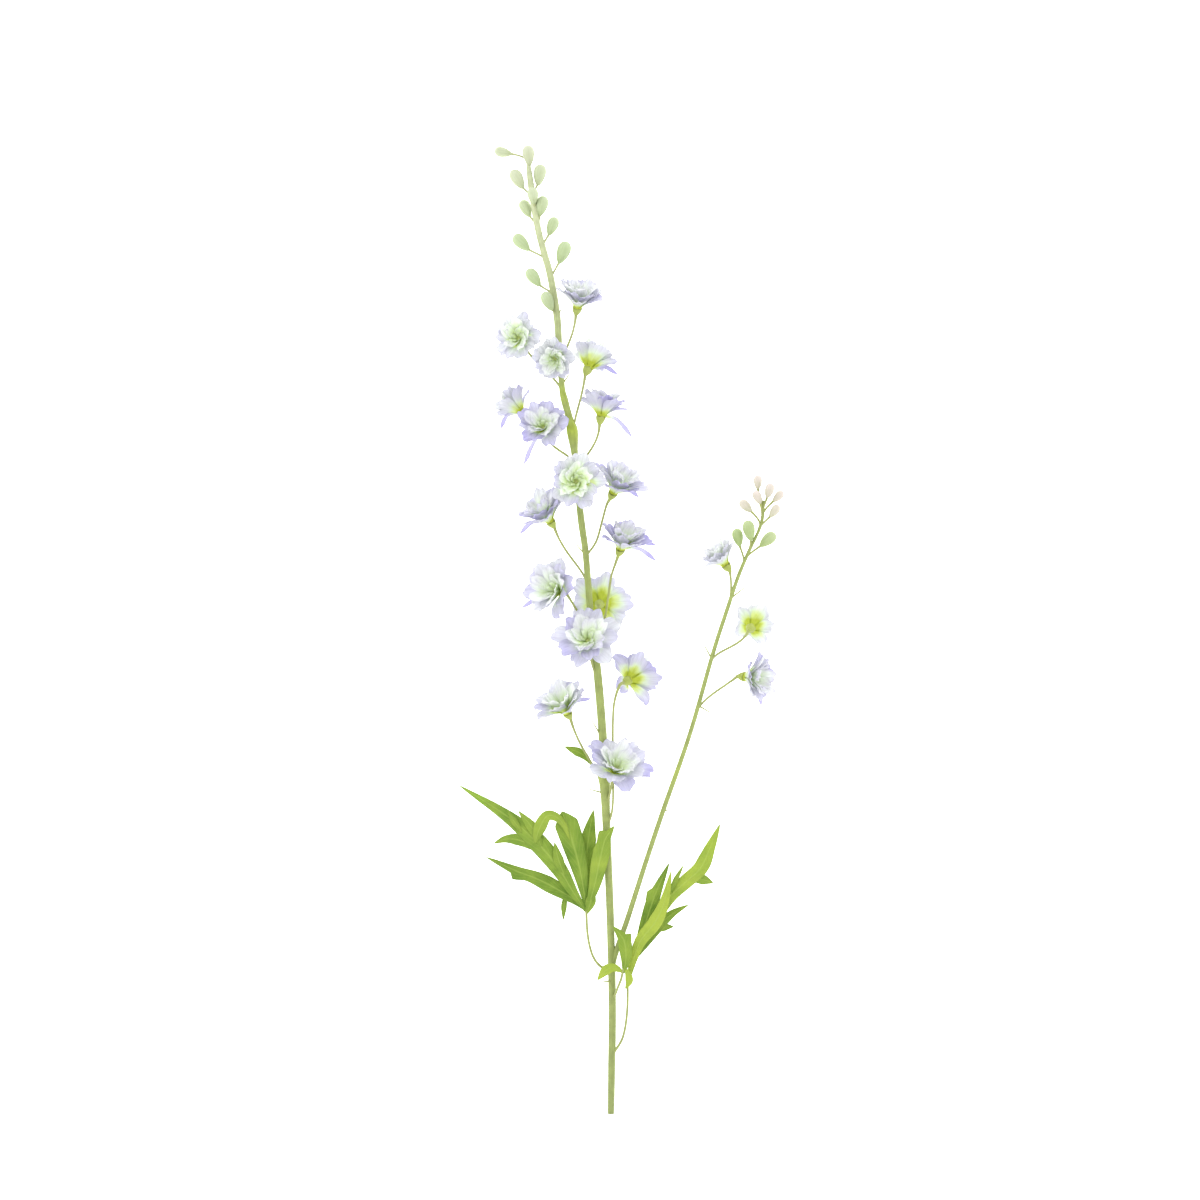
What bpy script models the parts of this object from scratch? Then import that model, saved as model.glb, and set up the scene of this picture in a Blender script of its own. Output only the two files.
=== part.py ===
"""Delphinium flower spike: one cut stem of a pale double delphinium, lying on its side.

The stem runs along +Y from its cut foot to the tip and +Z is up, away from the surface that it lies on.
Every place is first given in millimetres from the cut foot, seen from above. At the end all the pieces
are moved together, so that the origin is at the bottom centre of the whole spike.
"""

from collections import namedtuple
from math import cos, pi, radians, sin

import bmesh
import bpy
from mathutils import Matrix, Vector

MM = 0.001
COLLECTION_NAME = "delphinium_flower_spike"

# Sizes, in millimetres
STEM_SIDES = 8
BRANCH_SIDES = 8
SEAT_GAP = 0.3
FLAT_ANGLE = 0.3
PETAL_THICKNESS = 0.6
LEAF_THICKNESS = 0.8
LOBE_TIP = 0.8
LOBE_FOLD = 0.14
PEDICEL_RADIUS = 0.9
PEDICEL_SEGMENTS = 3
CALYX_LENGTH = 7.0
CALYX_RADIUS = 3.6
CALYX_SIDES = 6
BRACT_RADIUS = 0.55
BUD_SIDES = 5
BUD_RINGS = 4
BUD_RADIUS = 5.7
BUD_LENGTH = 16.5
BUD_STALK_RADIUS = 0.75
BUD_MIDDLE = 0.82
BUD_SWELL = 0.26
BUD_SEAT = 0.3
STALK_PULL = 0.35
PEDICEL_FOOT_PULL = 0.3
PEDICEL_END_PULL = 0.45
BRACT_TIP_RADIUS = 0.15
BRACT_SIDES = 3
STALK_SIDES = 4
LEAF_STALK_SIDES = 6

# The middle line of the main stem: x, y, height above the surface, radius
STEM_ROUTE = [
    (0.0, 0.0, 2.9, 2.9),
    (0.6, 40.0, 4.0, 3.2),
    (1.2, 98.0, 6.0, 3.3),
    (-0.9, 182.0, 12.0, 3.3),
    (-4.2, 261.0, 19.0, 3.6),
    (-5.4, 290.0, 21.0, 4.6),
    (-6.2, 303.0, 22.0, 6.4),
    (-7.0, 315.0, 23.0, 4.4),
    (-7.4, 336.0, 24.0, 3.7),
    (-11.7, 388.0, 26.0, 3.6),
    (-18.0, 442.0, 27.0, 3.0),
    (-22.0, 493.0, 28.0, 2.8),
    (-26.3, 525.0, 28.5, 3.0),
    (-30.7, 568.0, 29.0, 2.6),
    (-32.2, 585.0, 29.2, 3.2),
    (-34.0, 602.0, 29.5, 5.0),
    (-36.2, 612.0, 29.6, 3.2),
    (-41.0, 630.0, 29.9, 3.2),
    (-43.0, 641.0, 30.0, 2.6),
    (-45.6, 677.0, 30.5, 2.9),
    (-47.3, 702.0, 31.0, 3.1),
    (-53.0, 737.0, 32.0, 3.0),
    (-58.7, 758.0, 33.0, 2.9),
    (-64.2, 780.0, 34.0, 2.8),
    (-69.8, 815.0, 34.5, 2.8),
    (-72.6, 838.0, 35.0, 1.8),
]

# The middle line of the side branch, from inside the main stem to its tip
BRANCH_ROUTE = [
    (1.0, 125.0, 8.0, 2.0),
    (3.8, 141.0, 10.0, 2.4),
    (14.6, 173.0, 13.0, 2.4),
    (31.9, 227.0, 16.0, 2.2),
    (46.0, 269.0, 18.0, 2.2),
    (69.6, 337.0, 20.0, 2.0),
    (89.6, 407.0, 22.0, 1.9),
    (102.8, 448.0, 22.5, 1.8),
    (111.5, 474.0, 23.0, 1.7),
    (120.3, 495.0, 23.5, 1.5),
    (132.0, 521.0, 24.0, 1.3),
    (134.0, 541.0, 24.0, 1.1),
]

# A bloom: where the top of its calyx is, which way it faces, how far its petals open (0 to 1), how long
# they are, how far it is turned on its axis in degrees, and how far along its stem its pedicel starts
Bloom = namedtuple("Bloom", "name calyx facing openness petal spin joint")

MAIN_BLOOMS = [
    Bloom("bloom_01", (-29.5, 708.5, 35.0), (0.2, 0.86, 0.45), 0.35, 27.0, 45, 653.0),
    Bloom("bloom_02", (-79.0, 681.0, 38.0), (-0.25, 0.15, 0.95), 0.7, 24.0, 0, 632.0),
    Bloom("bloom_03", (-48.0, 666.0, 42.0), (-0.15, -0.3, 0.94), 0.5, 23.0, 20, 642.0),
    Bloom("bloom_04", (-20.5, 656.0, 24.0), (0.34, 0.82, -0.42), 0.3, 26.5, 5, 592.0),
    Bloom("bloom_05", (-78.0, 618.5, 25.0), (-0.62, 0.7, -0.28), 0.25, 23.5, 15, 603.0),
    Bloom("bloom_06", (-58.0, 602.0, 35.0), (-0.15, 0.4, 0.9), 0.6, 26.0, 0, 570.0),
    Bloom("bloom_07", (-9.0, 613.5, 27.0), (0.16, 0.95, -0.1), 0.42, 27.5, 22, 560.0),
    Bloom("bloom_08", (-30.5, 556.0, 44.0), (0.0, 0.12, 1.0), 0.8, 27.0, 0, 519.0),
    Bloom("bloom_09", (1.5, 547.0, 24.0), (0.42, 0.78, 0.45), 0.35, 30.0, 12, 492.0),
    Bloom("bloom_10", (-52.6, 522.0, 29.0), (-0.5, 0.76, 0.42), 0.4, 29.5, 0, 462.0),
    Bloom("bloom_11", (8.0, 497.5, 29.0), (0.3, 0.86, 0.42), 0.45, 28.0, 4, 412.0),
    Bloom("bloom_12", (-43.0, 461.0, 33.0), (-0.62, 0.2, 0.73), 0.6, 32.0, 0, 405.0),
    Bloom("bloom_13", (-10.0, 450.0, 16.9), (0.1, 0.1, -1.0), 0.8, 31.0, 0, 419.0),
    Bloom("bloom_14", (-20.0, 416.0, 44.0), (-0.05, 0.42, 0.9), 0.85, 33.0, 30, 375.0),
    Bloom("bloom_15", (14.5, 383.0, 27.0), (0.55, 0.3, -0.78), 0.5, 29.5, 0, 254.0),
    Bloom("bloom_16", (-38.0, 354.5, 31.0), (-0.42, 0.76, 0.5), 0.5, 30.0, 0, 279.0),
    Bloom("bloom_17", (3.0, 302.0, 36.0), (0.25, 0.66, 0.66), 0.8, 34.0, 0, 262.0),
]
BRANCH_BLOOMS = [
    Bloom("side_bloom_1", (101.0, 484.0, 25.0), (-0.55, 0.8, 0.2), 0.3, 22.0, 0, 448.0),
    Bloom("side_bloom_2", (122.6, 429.0, 22.0), (0.3, 0.3, -0.85), 0.4, 23.0, 0, 398.0),
    Bloom("side_bloom_3", (116.5, 386.5, 24.0), (0.86, -0.06, 0.5), 0.4, 28.0, 0, 352.0),
]

# A pedicel that stands off the stem passes these points on its way
PEDICEL_VIAS = {
    "bloom_09": [(-13.0, 505.0, 26.0), (-8.0, 522.0, 23.0)],
    "bloom_11": [(-5.5, 438.0, 32.5), (-2.6, 455.0, 31.5), (0.2, 474.0, 29.5)],
    "bloom_15": [(1.2, 270.0, 23.0), (2.0, 300.0, 26.5), (1.6, 335.0, 27.5), (2.6, 362.0, 30.0)],
}

# A bud: its middle, which way its tip points, its size against the full one, and where its stalk starts
Bud = namedtuple("Bud", "centre tip size stalk_foot")

MAIN_BUDS = [
    Bud((-94.1, 845.0, 36.0), (-1.0, 0.2, 0.1), 0.95, (-73.5, 835.0)),
    Bud((-72.0, 842.0, 37.0), (-0.1, 1.0, 0.1), 1.1, (-73.0, 828.0)),
    Bud((-81.5, 821.0, 38.5), (-0.5, 0.85, 0.2), 1.15, (-71.0, 803.0)),
    Bud((-62.5, 825.0, 36.0), (0.15, 0.98, 0.1), 1.15, (-68.5, 806.0)),
    Bud((-74.5, 796.5, 29.0), (-0.4, 0.85, -0.3), 1.05, (-63.5, 778.0)),
    Bud((-60.5, 798.0, 35.0), (0.2, 0.95, 0.1), 1.1, (-62.5, 774.0)),
    Bud((-68.0, 806.0, 42.0), (-0.1, 0.8, 0.6), 1.0, (-65.5, 784.0)),
    Bud((-51.5, 780.5, 33.0), (0.35, 0.9, 0.0), 1.05, (-59.0, 760.0)),
    Bud((-78.0, 766.0, 35.0), (-0.7, 0.7, 0.1), 1.15, (-57.0, 749.0)),
    Bud((-42.0, 757.5, 34.0), (0.35, 0.93, 0.1), 1.25, (-52.0, 731.0)),
    Bud((-67.5, 735.5, 35.0), (-0.6, 0.8, 0.1), 1.12, (-50.5, 718.0)),
    Bud((-55.0, 714.5, 38.0), (-0.4, 0.85, 0.3), 1.1, (-48.0, 700.0)),
]
BRANCH_BUDS = [
    Bud((128.8, 557.0, 24.0), (0.0, 1.0, 0.0), 0.8, (133.0, 534.0)),
    Bud((128.5, 543.5, 29.0), (-0.4, 0.9, 0.3), 0.8, (132.3, 523.0)),
    Bud((138.5, 549.5, 28.5), (0.25, 0.9, 0.2), 0.85, (133.5, 530.0)),
    Bud((146.5, 544.5, 24.0), (0.7, 0.7, 0.0), 0.78, (133.0, 526.0)),
    Bud((118.5, 536.0, 23.0), (-0.7, 0.7, 0.0), 0.88, (130.0, 517.0)),
    Bud((143.0, 531.5, 27.0), (0.6, 0.8, 0.2), 0.82, (130.0, 516.0)),
    Bud((121.0, 514.5, 28.0), (-0.2, 0.95, 0.2), 1.12, (119.0, 492.0)),
    Bud((111.5, 508.5, 21.0), (-0.2, 0.97, -0.1), 1.0, (115.0, 484.0)),
    Bud((137.5, 506.5, 22.0), (0.75, 0.65, 0.0), 1.08, (117.5, 488.0)),
]

# A bract: a thin pointed scale, from its root inside the stem to its tip
Bract = namedtuple("Bract", "root tip")

MAIN_BRACTS = [
    Bract((-5.5, 284.0, 21.0), (-24.5, 289.5, 24.0)),
    Bract((-9.5, 336.0, 25.0), (-19.0, 352.0, 30.0)),
    Bract((0.5, 118.0, 9.0), (-14.0, 117.0, 13.0)),
    Bract((-16.0, 415.0, 27.0), (-5.0, 432.0, 31.0)),
    Bract((-23.0, 494.0, 28.0), (-33.5, 506.0, 31.0)),
    Bract((-31.5, 570.0, 29.0), (-40.0, 583.0, 25.0)),
    Bract((-43.0, 642.0, 30.5), (-34.0, 655.0, 27.0)),
    Bract((-48.0, 700.0, 31.0), (-41.0, 712.0, 33.5)),
]
BRANCH_BRACTS = [
    Bract((88.5, 402.0, 22.0), (79.5, 418.5, 24.0)),
    Bract((77.0, 361.0, 20.5), (91.5, 352.5, 18.0)),
    Bract((106.0, 456.0, 22.5), (121.0, 467.5, 24.0)),
    Bract((46.0, 268.0, 18.0), (52.5, 270.0, 19.0)),
]

# A leaf lobe: its midrib, its widest half width, the teeth that stand out of its edge, each as how far along
# the lobe it is, which side (1 left, -1 right), and how far it stands out, the cells along it, and how far
# along it its widest place is
Lobe = namedtuple("Lobe", "midrib half_width teeth cells widest", defaults=[0.58])

LEFT_LEAF_STALK = [
    (-1.0, 128.0, 8.0, 1.3),
    (-9.5, 131.5, 12.0, 1.2),
    (-16.5, 142.0, 15.5, 1.1),
    (-20.5, 160.0, 17.0, 1.1),
    (-21.8, 184.0, 17.0, 1.1),
]
LEFT_LEAF_LOBES = [
    Lobe(
        [
            (-20.5, 178.0, 17.0),
            (-33.0, 197.0, 20.0),
            (-45.0, 217.0, 21.5),
            (-62.0, 238.0, 19.0),
            (-82.0, 256.0, 10.0),
            (-100.0, 268.5, 2.0),
            (-116.0, 278.5, 0.0),
            (-134.9, 290.4, 0.0),
        ],
        8.4,
        [],
        8,
        0.46,
    ),
    Lobe(
        [(-58.0, 231.0, 19.6), (-78.0, 241.5, 13.0), (-92.0, 243.0, 7.5), (-103.7, 238.7, 3.0)],
        5.0,
        [],
        4,
    ),
    Lobe([(-60.0, 234.0, 19.4), (-68.0, 252.0, 18.0), (-81.5, 268.3, 13.0)], 4.5, [], 4),
    Lobe([(-39.0, 207.0, 20.6), (-46.0, 226.0, 23.0), (-49.6, 241.4, 22.0)], 4.5, [], 3),
    Lobe(
        [
            (-20.5, 180.0, 16.6),
            (-32.0, 190.0, 15.5),
            (-45.0, 198.0, 12.5),
            (-64.2, 207.5, 7.0),
            (-83.4, 214.5, 2.5),
            (-111.1, 226.8, 0.0),
        ],
        7.0,
        [(0.68, 1, 4.0)],
        7,
        0.42,
    ),
    Lobe([(-38.0, 199.0, 13.8), (-41.0, 187.0, 11.0), (-42.0, 171.0, 8.0)], 2.6, [], 3),
    Lobe([(-78.0, 249.0, 12.5), (-86.0, 260.0, 11.0), (-91.1, 269.0, 9.5)], 3.0, [], 2, 0.5),
    Lobe(
        [
            (-67.0, 240.0, 18.5),
            (-62.0, 255.0, 22.5),
            (-56.0, 264.5, 25.5),
            (-48.0, 263.5, 26.5),
            (-41.0, 256.0, 26.0),
            (-36.0, 243.0, 25.0),
        ],
        5.6,
        [],
        6,
        0.3,
    ),
    Lobe(
        [(-21.2, 181.0, 17.0), (-26.5, 214.0, 21.5), (-33.5, 241.0, 23.5), (-43.0, 268.5, 23.0)],
        10.5,
        [],
        5,
        0.88,
    ),
    Lobe(
        [(-21.5, 181.0, 16.8), (-22.5, 214.0, 16.5), (-19.5, 246.0, 16.0), (-15.2, 269.2, 13.0)],
        7.0,
        [],
        5,
        0.7,
    ),
    Lobe(
        [
            (-21.5, 179.0, 17.2),
            (-14.5, 203.0, 23.0),
            (-9.5, 227.0, 27.0),
            (-5.0, 244.0, 29.5),
            (3.0, 256.2, 30.0),
        ],
        7.6,
        [(0.84, 1, 3.5)],
        6,
        0.7,
    ),
    Lobe([(-21.3, 178.0, 17.4), (-17.5, 190.0, 20.0), (-16.0, 203.0, 22.0)], 4.5, [], 2, 0.5),
]

RIGHT_LEAF_STALK = [
    (1.0, 52.0, 5.0, 1.2),
    (10.5, 68.0, 7.0, 1.1),
    (14.4, 92.0, 9.0, 1.1),
    (14.8, 124.0, 12.0, 1.1),
]
RIGHT_LEAF_LOBES = [
    Lobe(
        [
            (14.6, 118.0, 12.0),
            (19.5, 138.0, 17.0),
            (26.6, 155.5, 22.0),
            (38.5, 171.0, 26.0),
            (47.0, 190.0, 28.0),
            (53.0, 217.0, 25.0),
        ],
        6.2,
        [],
        7,
    ),
    Lobe(
        [
            (15.5, 118.0, 11.6),
            (24.0, 145.0, 14.0),
            (38.0, 172.0, 15.5),
            (52.0, 193.0, 16.0),
            (66.0, 206.0, 15.0),
            (79.0, 218.0, 14.0),
            (87.5, 236.0, 12.0),
            (96.5, 256.8, 8.0),
        ],
        6.6,
        [],
        9,
        0.78,
    ),
    Lobe([(68.0, 208.0, 14.8), (79.0, 208.0, 13.0), (90.4, 204.5, 9.0)], 4.5, [], 3),
    Lobe([(50.0, 192.0, 15.8), (57.0, 208.0, 17.0), (63.9, 220.7, 16.0)], 2.2, [], 3),
    Lobe(
        [(20.0, 137.0, 13.4), (29.0, 165.0, 16.5), (39.0, 195.0, 19.0), (51.5, 223.5, 19.0)],
        6.0,
        [(0.64, 1, 2.5)],
        5,
    ),
    Lobe([(20.0, 136.0, 13.0), (40.0, 164.0, 9.0), (54.0, 177.0, 7.0), (69.2, 185.0, 4.0)], 5.0, [], 5),
    Lobe([(37.0, 161.0, 9.5), (46.0, 165.0, 7.5), (55.5, 165.5, 5.0)], 3.5, [], 3),
]

FORK_LEAF_STALK = [
    (1.5, 102.0, 6.5, 1.2),
    (4.2, 107.5, 12.0, 1.1),
    (6.2, 113.5, 17.0, 1.1),
    (9.0, 121.0, 20.0, 1.1),
    (11.0, 131.0, 21.8, 1.0),
]
FORK_LEAF_LOBES = [
    Lobe(
        [(11.2, 126.0, 21.4), (13.2, 141.0, 24.5), (11.0, 156.0, 26.0), (1.5, 168.0, 25.0)],
        6.0,
        [(0.66, -1, 3.0)],
        5,
    ),
    Lobe(
        [(11.0, 127.0, 21.4), (3.0, 131.0, 23.0), (-4.0, 129.0, 22.0), (-12.0, 119.5, 17.0)],
        4.5,
        [],
        4,
    ),
    Lobe(
        [(11.0, 130.0, 21.6), (14.5, 127.0, 22.5), (16.0, 119.0, 21.0), (12.5, 112.0, 19.5)],
        3.5,
        [],
        3,
    ),
]

UPPER_LEAF_STALK = [
    (-6.5, 294.0, 18.0, 1.0),
    (-14.0, 303.0, 15.0, 0.9),
    (-19.0, 312.0, 14.5, 0.9),
]
UPPER_LEAF_LOBES = [
    Lobe([(-17.5, 309.5, 14.6), (-25.0, 318.0, 16.0), (-41.0, 325.0, 16.0)], 4.0, [], 4),
]


def clear_scene():
    for obj in list(bpy.data.objects):
        bpy.data.objects.remove(obj)


def new_collection(name, hidden=False):
    collection = bpy.data.collections.new(name)
    bpy.context.scene.collection.children.link(collection)
    collection.hide_render = hidden
    return collection


def plain_material(name, colour, roughness):
    """A Principled material of one colour, with no metal in it."""
    material = bpy.data.materials.new(name)
    material.use_nodes = True
    shader = material.node_tree.nodes["Principled BSDF"]
    shader.inputs["Base Color"].default_value = (*colour, 1.0)
    shader.inputs["Roughness"].default_value = roughness
    shader.inputs["Metallic"].default_value = 0.0
    material.diffuse_color = (*colour, 1.0)
    return material


def mix(first, second, share):
    return first + (second - first) * share


def curve_point(before, start, end, after, share):
    """A point of the smooth curve from start to end, between their neighbours (Catmull and Rom)."""
    square = share * share
    cube = square * share
    return 0.5 * (
        2.0 * start
        + (end - before) * share
        + (2.0 * before - 5.0 * start + 4.0 * end - after) * square
        + (3.0 * start - before - 3.0 * end + after) * cube
    )


def smooth_route(points, steps):
    """The smooth curve through the points, with this many steps to each stretch. Any number of values."""
    rows = [Vector(point) for point in points]
    first = rows[0] * 2.0 - rows[1]
    last = rows[-1] * 2.0 - rows[-2]
    padded = [first] + rows + [last]
    route = []
    for index in range(len(rows) - 1):
        before, start, end, after = padded[index : index + 4]
        for step in range(steps):
            route.append(curve_point(before, start, end, after, step / steps))
    route.append(rows[-1])
    return route


def point_at_length(points, share):
    """The point of a route at this share of its length."""
    lengths = [0.0]
    for start, end in zip(points, points[1:]):
        lengths.append(lengths[-1] + (end - start).length)
    wanted = share * lengths[-1]
    for index in range(1, len(points)):
        if wanted <= lengths[index] or index == len(points) - 1:
            span = lengths[index] - lengths[index - 1]
            return points[index - 1].lerp(points[index], (wanted - lengths[index - 1]) / span)


def route_point_at_y(route, y):
    """The middle line's point at this distance along +Y, and the direction there."""
    for start, end in zip(route, route[1:]):
        if start[1] <= y <= end[1]:
            share = (y - start[1]) / (end[1] - start[1])
            place = Vector(start[:3]).lerp(Vector(end[:3]), share)
            return place, (Vector(end[:3]) - Vector(start[:3])).normalized()
    raise ValueError(f"the route has no point at {y}")


def bezier(start, start_pull, end_pull, end, steps):
    """Points along a cubic curve."""
    points = []
    for step in range(steps + 1):
        t = step / steps
        s = 1.0 - t
        points.append(
            start * s**3 + start_pull * (3.0 * s * s * t) + end_pull * (3.0 * s * t * t) + end * t**3
        )
    return points


def object_from_bmesh(name, shape, collection):
    """Turns millimetres into metres and makes the object."""
    bmesh.ops.scale(shape, vec=(MM, MM, MM), verts=shape.verts)
    mesh = bpy.data.meshes.new(name)
    shape.to_mesh(mesh)
    shape.free()
    obj = bpy.data.objects.new(name, mesh)
    collection.objects.link(obj)
    return obj


def tube(name, points, radii, sides, collection):
    """A round closed tube along the points, made from a curve with a bevel, as a mesh with welded caps."""
    curve = bpy.data.curves.new(name, "CURVE")
    curve.dimensions = "3D"
    curve.bevel_depth = MM
    curve.bevel_resolution = sides // 2 - 2
    curve.use_fill_caps = True
    spline = curve.splines.new("POLY")
    spline.points.add(len(points) - 1)
    for control, point, radius in zip(spline.points, points, radii):
        control.co = (point[0] * MM, point[1] * MM, point[2] * MM, 1.0)
        control.radius = radius
    guide = bpy.data.objects.new(name + "_curve", curve)
    collection.objects.link(guide)
    bpy.context.view_layer.update()
    evaluated = guide.evaluated_get(bpy.context.evaluated_depsgraph_get())
    mesh = bpy.data.meshes.new_from_object(evaluated)
    shape = bmesh.new()
    shape.from_mesh(mesh)
    bmesh.ops.remove_doubles(shape, verts=shape.verts, dist=0.01 * MM)
    bmesh.ops.recalc_face_normals(shape, faces=shape.faces)
    shape.to_mesh(mesh)
    shape.free()
    obj = bpy.data.objects.new(name, mesh)
    collection.objects.link(obj)
    bpy.data.objects.remove(guide)
    bpy.data.curves.remove(curve)
    return obj


def axis_frame(origin, direction):
    """A matrix that takes +Z to the direction and 0 to the origin, with its X level or nearly so."""
    z_axis = Vector(direction).normalized()
    side = Vector((1.0, 0.0, 0.0)) if abs(z_axis.x) < 0.9 else Vector((0.0, 1.0, 0.0))
    y_axis = z_axis.cross(side).normalized()
    x_axis = y_axis.cross(z_axis)
    turn = Matrix((x_axis, y_axis, z_axis)).transposed().to_4x4()
    return Matrix.Translation(Vector(origin)) @ turn


def cone(name, start, end, start_radius, end_radius, sides, collection, spin=0.0):
    """A closed cone from start to end, turned by spin degrees."""
    start = Vector(start)
    run = Vector(end) - start
    shape = bmesh.new()
    bmesh.ops.create_cone(
        shape,
        cap_ends=True,
        cap_tris=False,
        segments=sides,
        radius1=start_radius,
        radius2=end_radius,
        depth=run.length,
        matrix=Matrix.Translation((0.0, 0.0, run.length / 2.0)) @ Matrix.Rotation(radians(spin), 4, "Z"),
    )
    bmesh.ops.transform(shape, matrix=axis_frame(start, run), verts=shape.verts)
    return object_from_bmesh(name, shape, collection)


def bud_body(name, bud, collection):
    """A teardrop: a round ball drawn out to a narrow neck at its foot."""
    length = BUD_LENGTH * bud.size
    radius = BUD_RADIUS * bud.size
    shape = bmesh.new()
    bmesh.ops.create_uvsphere(shape, u_segments=BUD_SIDES, v_segments=BUD_RINGS, radius=1.0)
    for vert in shape.verts:
        height = vert.co.z
        width = radius * (BUD_MIDDLE + BUD_SWELL * height)
        vert.co = Vector((vert.co.x * width, vert.co.y * width, height * length / 2.0))
    bmesh.ops.transform(shape, matrix=axis_frame(bud.centre, bud.tip), verts=shape.verts)
    return object_from_bmesh(name, shape, collection)


def bud_stalk(name, bud, route, collection):
    """The bud's stalk, from inside the stem to inside the bud's foot."""
    foot_x, foot_y = bud.stalk_foot
    foot, along = route_point_at_y(route, foot_y)
    tip = Vector(bud.tip).normalized()
    end = Vector(bud.centre) - tip * (BUD_LENGTH * bud.size * BUD_SEAT)
    pull = (end - foot).length * STALK_PULL
    points = bezier(foot, foot + along * pull, end - tip * pull, end, 2)
    radii = [BUD_STALK_RADIUS] * len(points)
    return tube(name, points, radii, STALK_SIDES, collection)


def pedicel(name, bloom, route, collection):
    """The stalk that carries a bloom, from inside the stem to inside the foot of the calyx."""
    foot, along = route_point_at_y(route, bloom.joint)
    facing = Vector(bloom.facing).normalized()
    end = Vector(bloom.calyx) - facing * (CALYX_LENGTH - 1.0)
    vias = [Vector(via) for via in PEDICEL_VIAS.get(bloom.name, [])]
    if vias:
        neck = end - facing * CALYX_LENGTH
        points = smooth_route([foot] + vias + [neck, end], 1)
    else:
        reach = (end - foot).length
        foot_pull = foot + along * reach * PEDICEL_FOOT_PULL
        end_pull = end - (facing + along).normalized() * reach * PEDICEL_END_PULL
        points = bezier(foot, foot_pull, end_pull, end, PEDICEL_SEGMENTS)
    radii = [PEDICEL_RADIUS] * len(points)
    return tube(name, points, radii, STALK_SIDES, collection)


def calyx(name, bloom, collection):
    """The green cup under a bloom, which its petals sit on."""
    facing = Vector(bloom.facing).normalized()
    top = Vector(bloom.calyx) - facing * SEAT_GAP
    foot = top - facing * CALYX_LENGTH
    return cone(name, foot, top, PEDICEL_RADIUS * 1.1, CALYX_RADIUS, CALYX_SIDES, collection)


# A whorl of petals: how many, how steep a petal leaves the middle and how steep it ends in degrees, where its
# foot is, half the width of its foot, its length and its width against the bloom's petal, how far each one
# leans over the next, how far the whorl is turned in degrees, and how many rows and columns of cells a petal
# has. Both steeps and the length are pairs, for a shut and for an open bloom.
Whorl = namedtuple(
    "Whorl", "count steep_start steep_end foot_radius foot_height claw length width lean phase rows columns"
)

OUTER_WHORL = Whorl(5, (24.0, 52.0), (60.0, 94.0), 2.6, 0.9, 1.1, (1.0, 1.0), 0.74, 0.2, 0.0, 2, 2)
MIDDLE_WHORL = Whorl(5, (16.0, 38.0), (34.0, 72.0), 1.8, 2.8, 0.7, (1.15, 0.85), 0.46, 0.3, 36.0, 2, 1)
HEART_WHORL = Whorl(4, (13.0, 22.0), (28.0, 50.0), 1.1, 5.4, 0.35, (0.36, 0.36), 0.15, 0.4, 10.0, 1, 1)

RECEPTACLE_SIDES = 5
RECEPTACLE_RADIUS = 4.0
RECEPTACLE_HEIGHT = 4.2
HEART_FOOT = 4.5
HEART_TOP = 6.5
HEART_RADIUS = 2.0
RECEPTACLE_TAPER = 0.9
TIP_WIDTH = 0.62
CUP = 0.2
NOTCH = 0.05
PRESSED_HEIGHT = 0.2

# Some blooms have thin tails: petals that stayed narrow and arch out of the bloom, with their tips here
TAIL_WIDTH = 2.2
TAIL_TIP_WIDTH = 1.2
TAIL_ARCH = 5.0
TAIL_FOOT_HEIGHT = 2.2
TAIL_FOOT_OUT = 2.6
TAIL_MIDDLE = 0.45
TAIL_CELLS = 2
TAIL_TIPS = {
    "bloom_04": [(5.8, 652.5, 12.0)],
    "bloom_05": [(-97.0, 604.5, 16.0)],
    "bloom_06": [(-76.2, 573.0, 24.0)],
    "bloom_07": [(18.4, 597.0, 22.0)],
    "bloom_09": [(24.2, 544.5, 16.0)],
    "bloom_10": [(-80.0, 512.0, 20.0)],
    "bloom_11": [(39.4, 488.5, 17.0), (39.6, 502.0, 26.0)],
    "bloom_12": [(-78.2, 447.0, 22.0)],
    "bloom_16": [(-17.8, 367.5, 37.0)],
    "side_bloom_3": [(132.3, 361.0, 14.0)],
}


def petal_half_width(whorl, bloom, share):
    """Narrow at its foot, full from the middle on, and narrower again at the tip."""
    if share == 0.0:
        return whorl.claw
    return bloom.petal * whorl.width / 2.0 * mix(1.0, TIP_WIDTH, 2.0 * share - 1.0)


def petal(name, whorl, bloom, angle, collection):
    """One petal: a flat grid bent along an arc, cupped across, and made thick."""
    start = radians(mix(*whorl.steep_start, bloom.openness))
    end = radians(mix(*whorl.steep_end, bloom.openness))
    length = bloom.petal * mix(*whorl.length, bloom.openness)
    shape = bmesh.new()
    bmesh.ops.create_grid(shape, x_segments=whorl.columns, y_segments=whorl.rows, size=1.0)
    for vert in shape.verts:
        across = vert.co.x
        share = round((vert.co.y + 1.0) / 2.0 * whorl.rows) / whorl.rows
        width = petal_half_width(whorl, bloom, share)
        steep = mix(start, end, share)
        out = whorl.foot_radius + length * (cos(start) - cos(steep)) / (end - start)
        up = whorl.foot_height + length * (sin(steep) - sin(start)) / (end - start)
        inward = width * (CUP * across * across + whorl.lean * across)
        notch = NOTCH * length * (1.0 - abs(across)) if share == 1.0 else 0.0
        out -= inward * cos(steep) + notch * sin(steep)
        up += inward * sin(steep) - notch * cos(steep)
        vert.co = Vector((out, across * width, up))
    bmesh.ops.triangulate(shape, faces=shape.faces)
    bmesh.ops.recalc_face_normals(shape, faces=shape.faces)
    place = bloom_frame(bloom) @ Matrix.Rotation(angle, 4, "Z")
    bmesh.ops.transform(shape, matrix=place, verts=shape.verts)
    for vert in shape.verts:
        vert.co.z = max(vert.co.z, PETAL_THICKNESS / 2.0)
    obj = object_from_bmesh(name, shape, collection)
    thicken(obj, PETAL_THICKNESS)
    press_flat(obj)
    return obj


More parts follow.
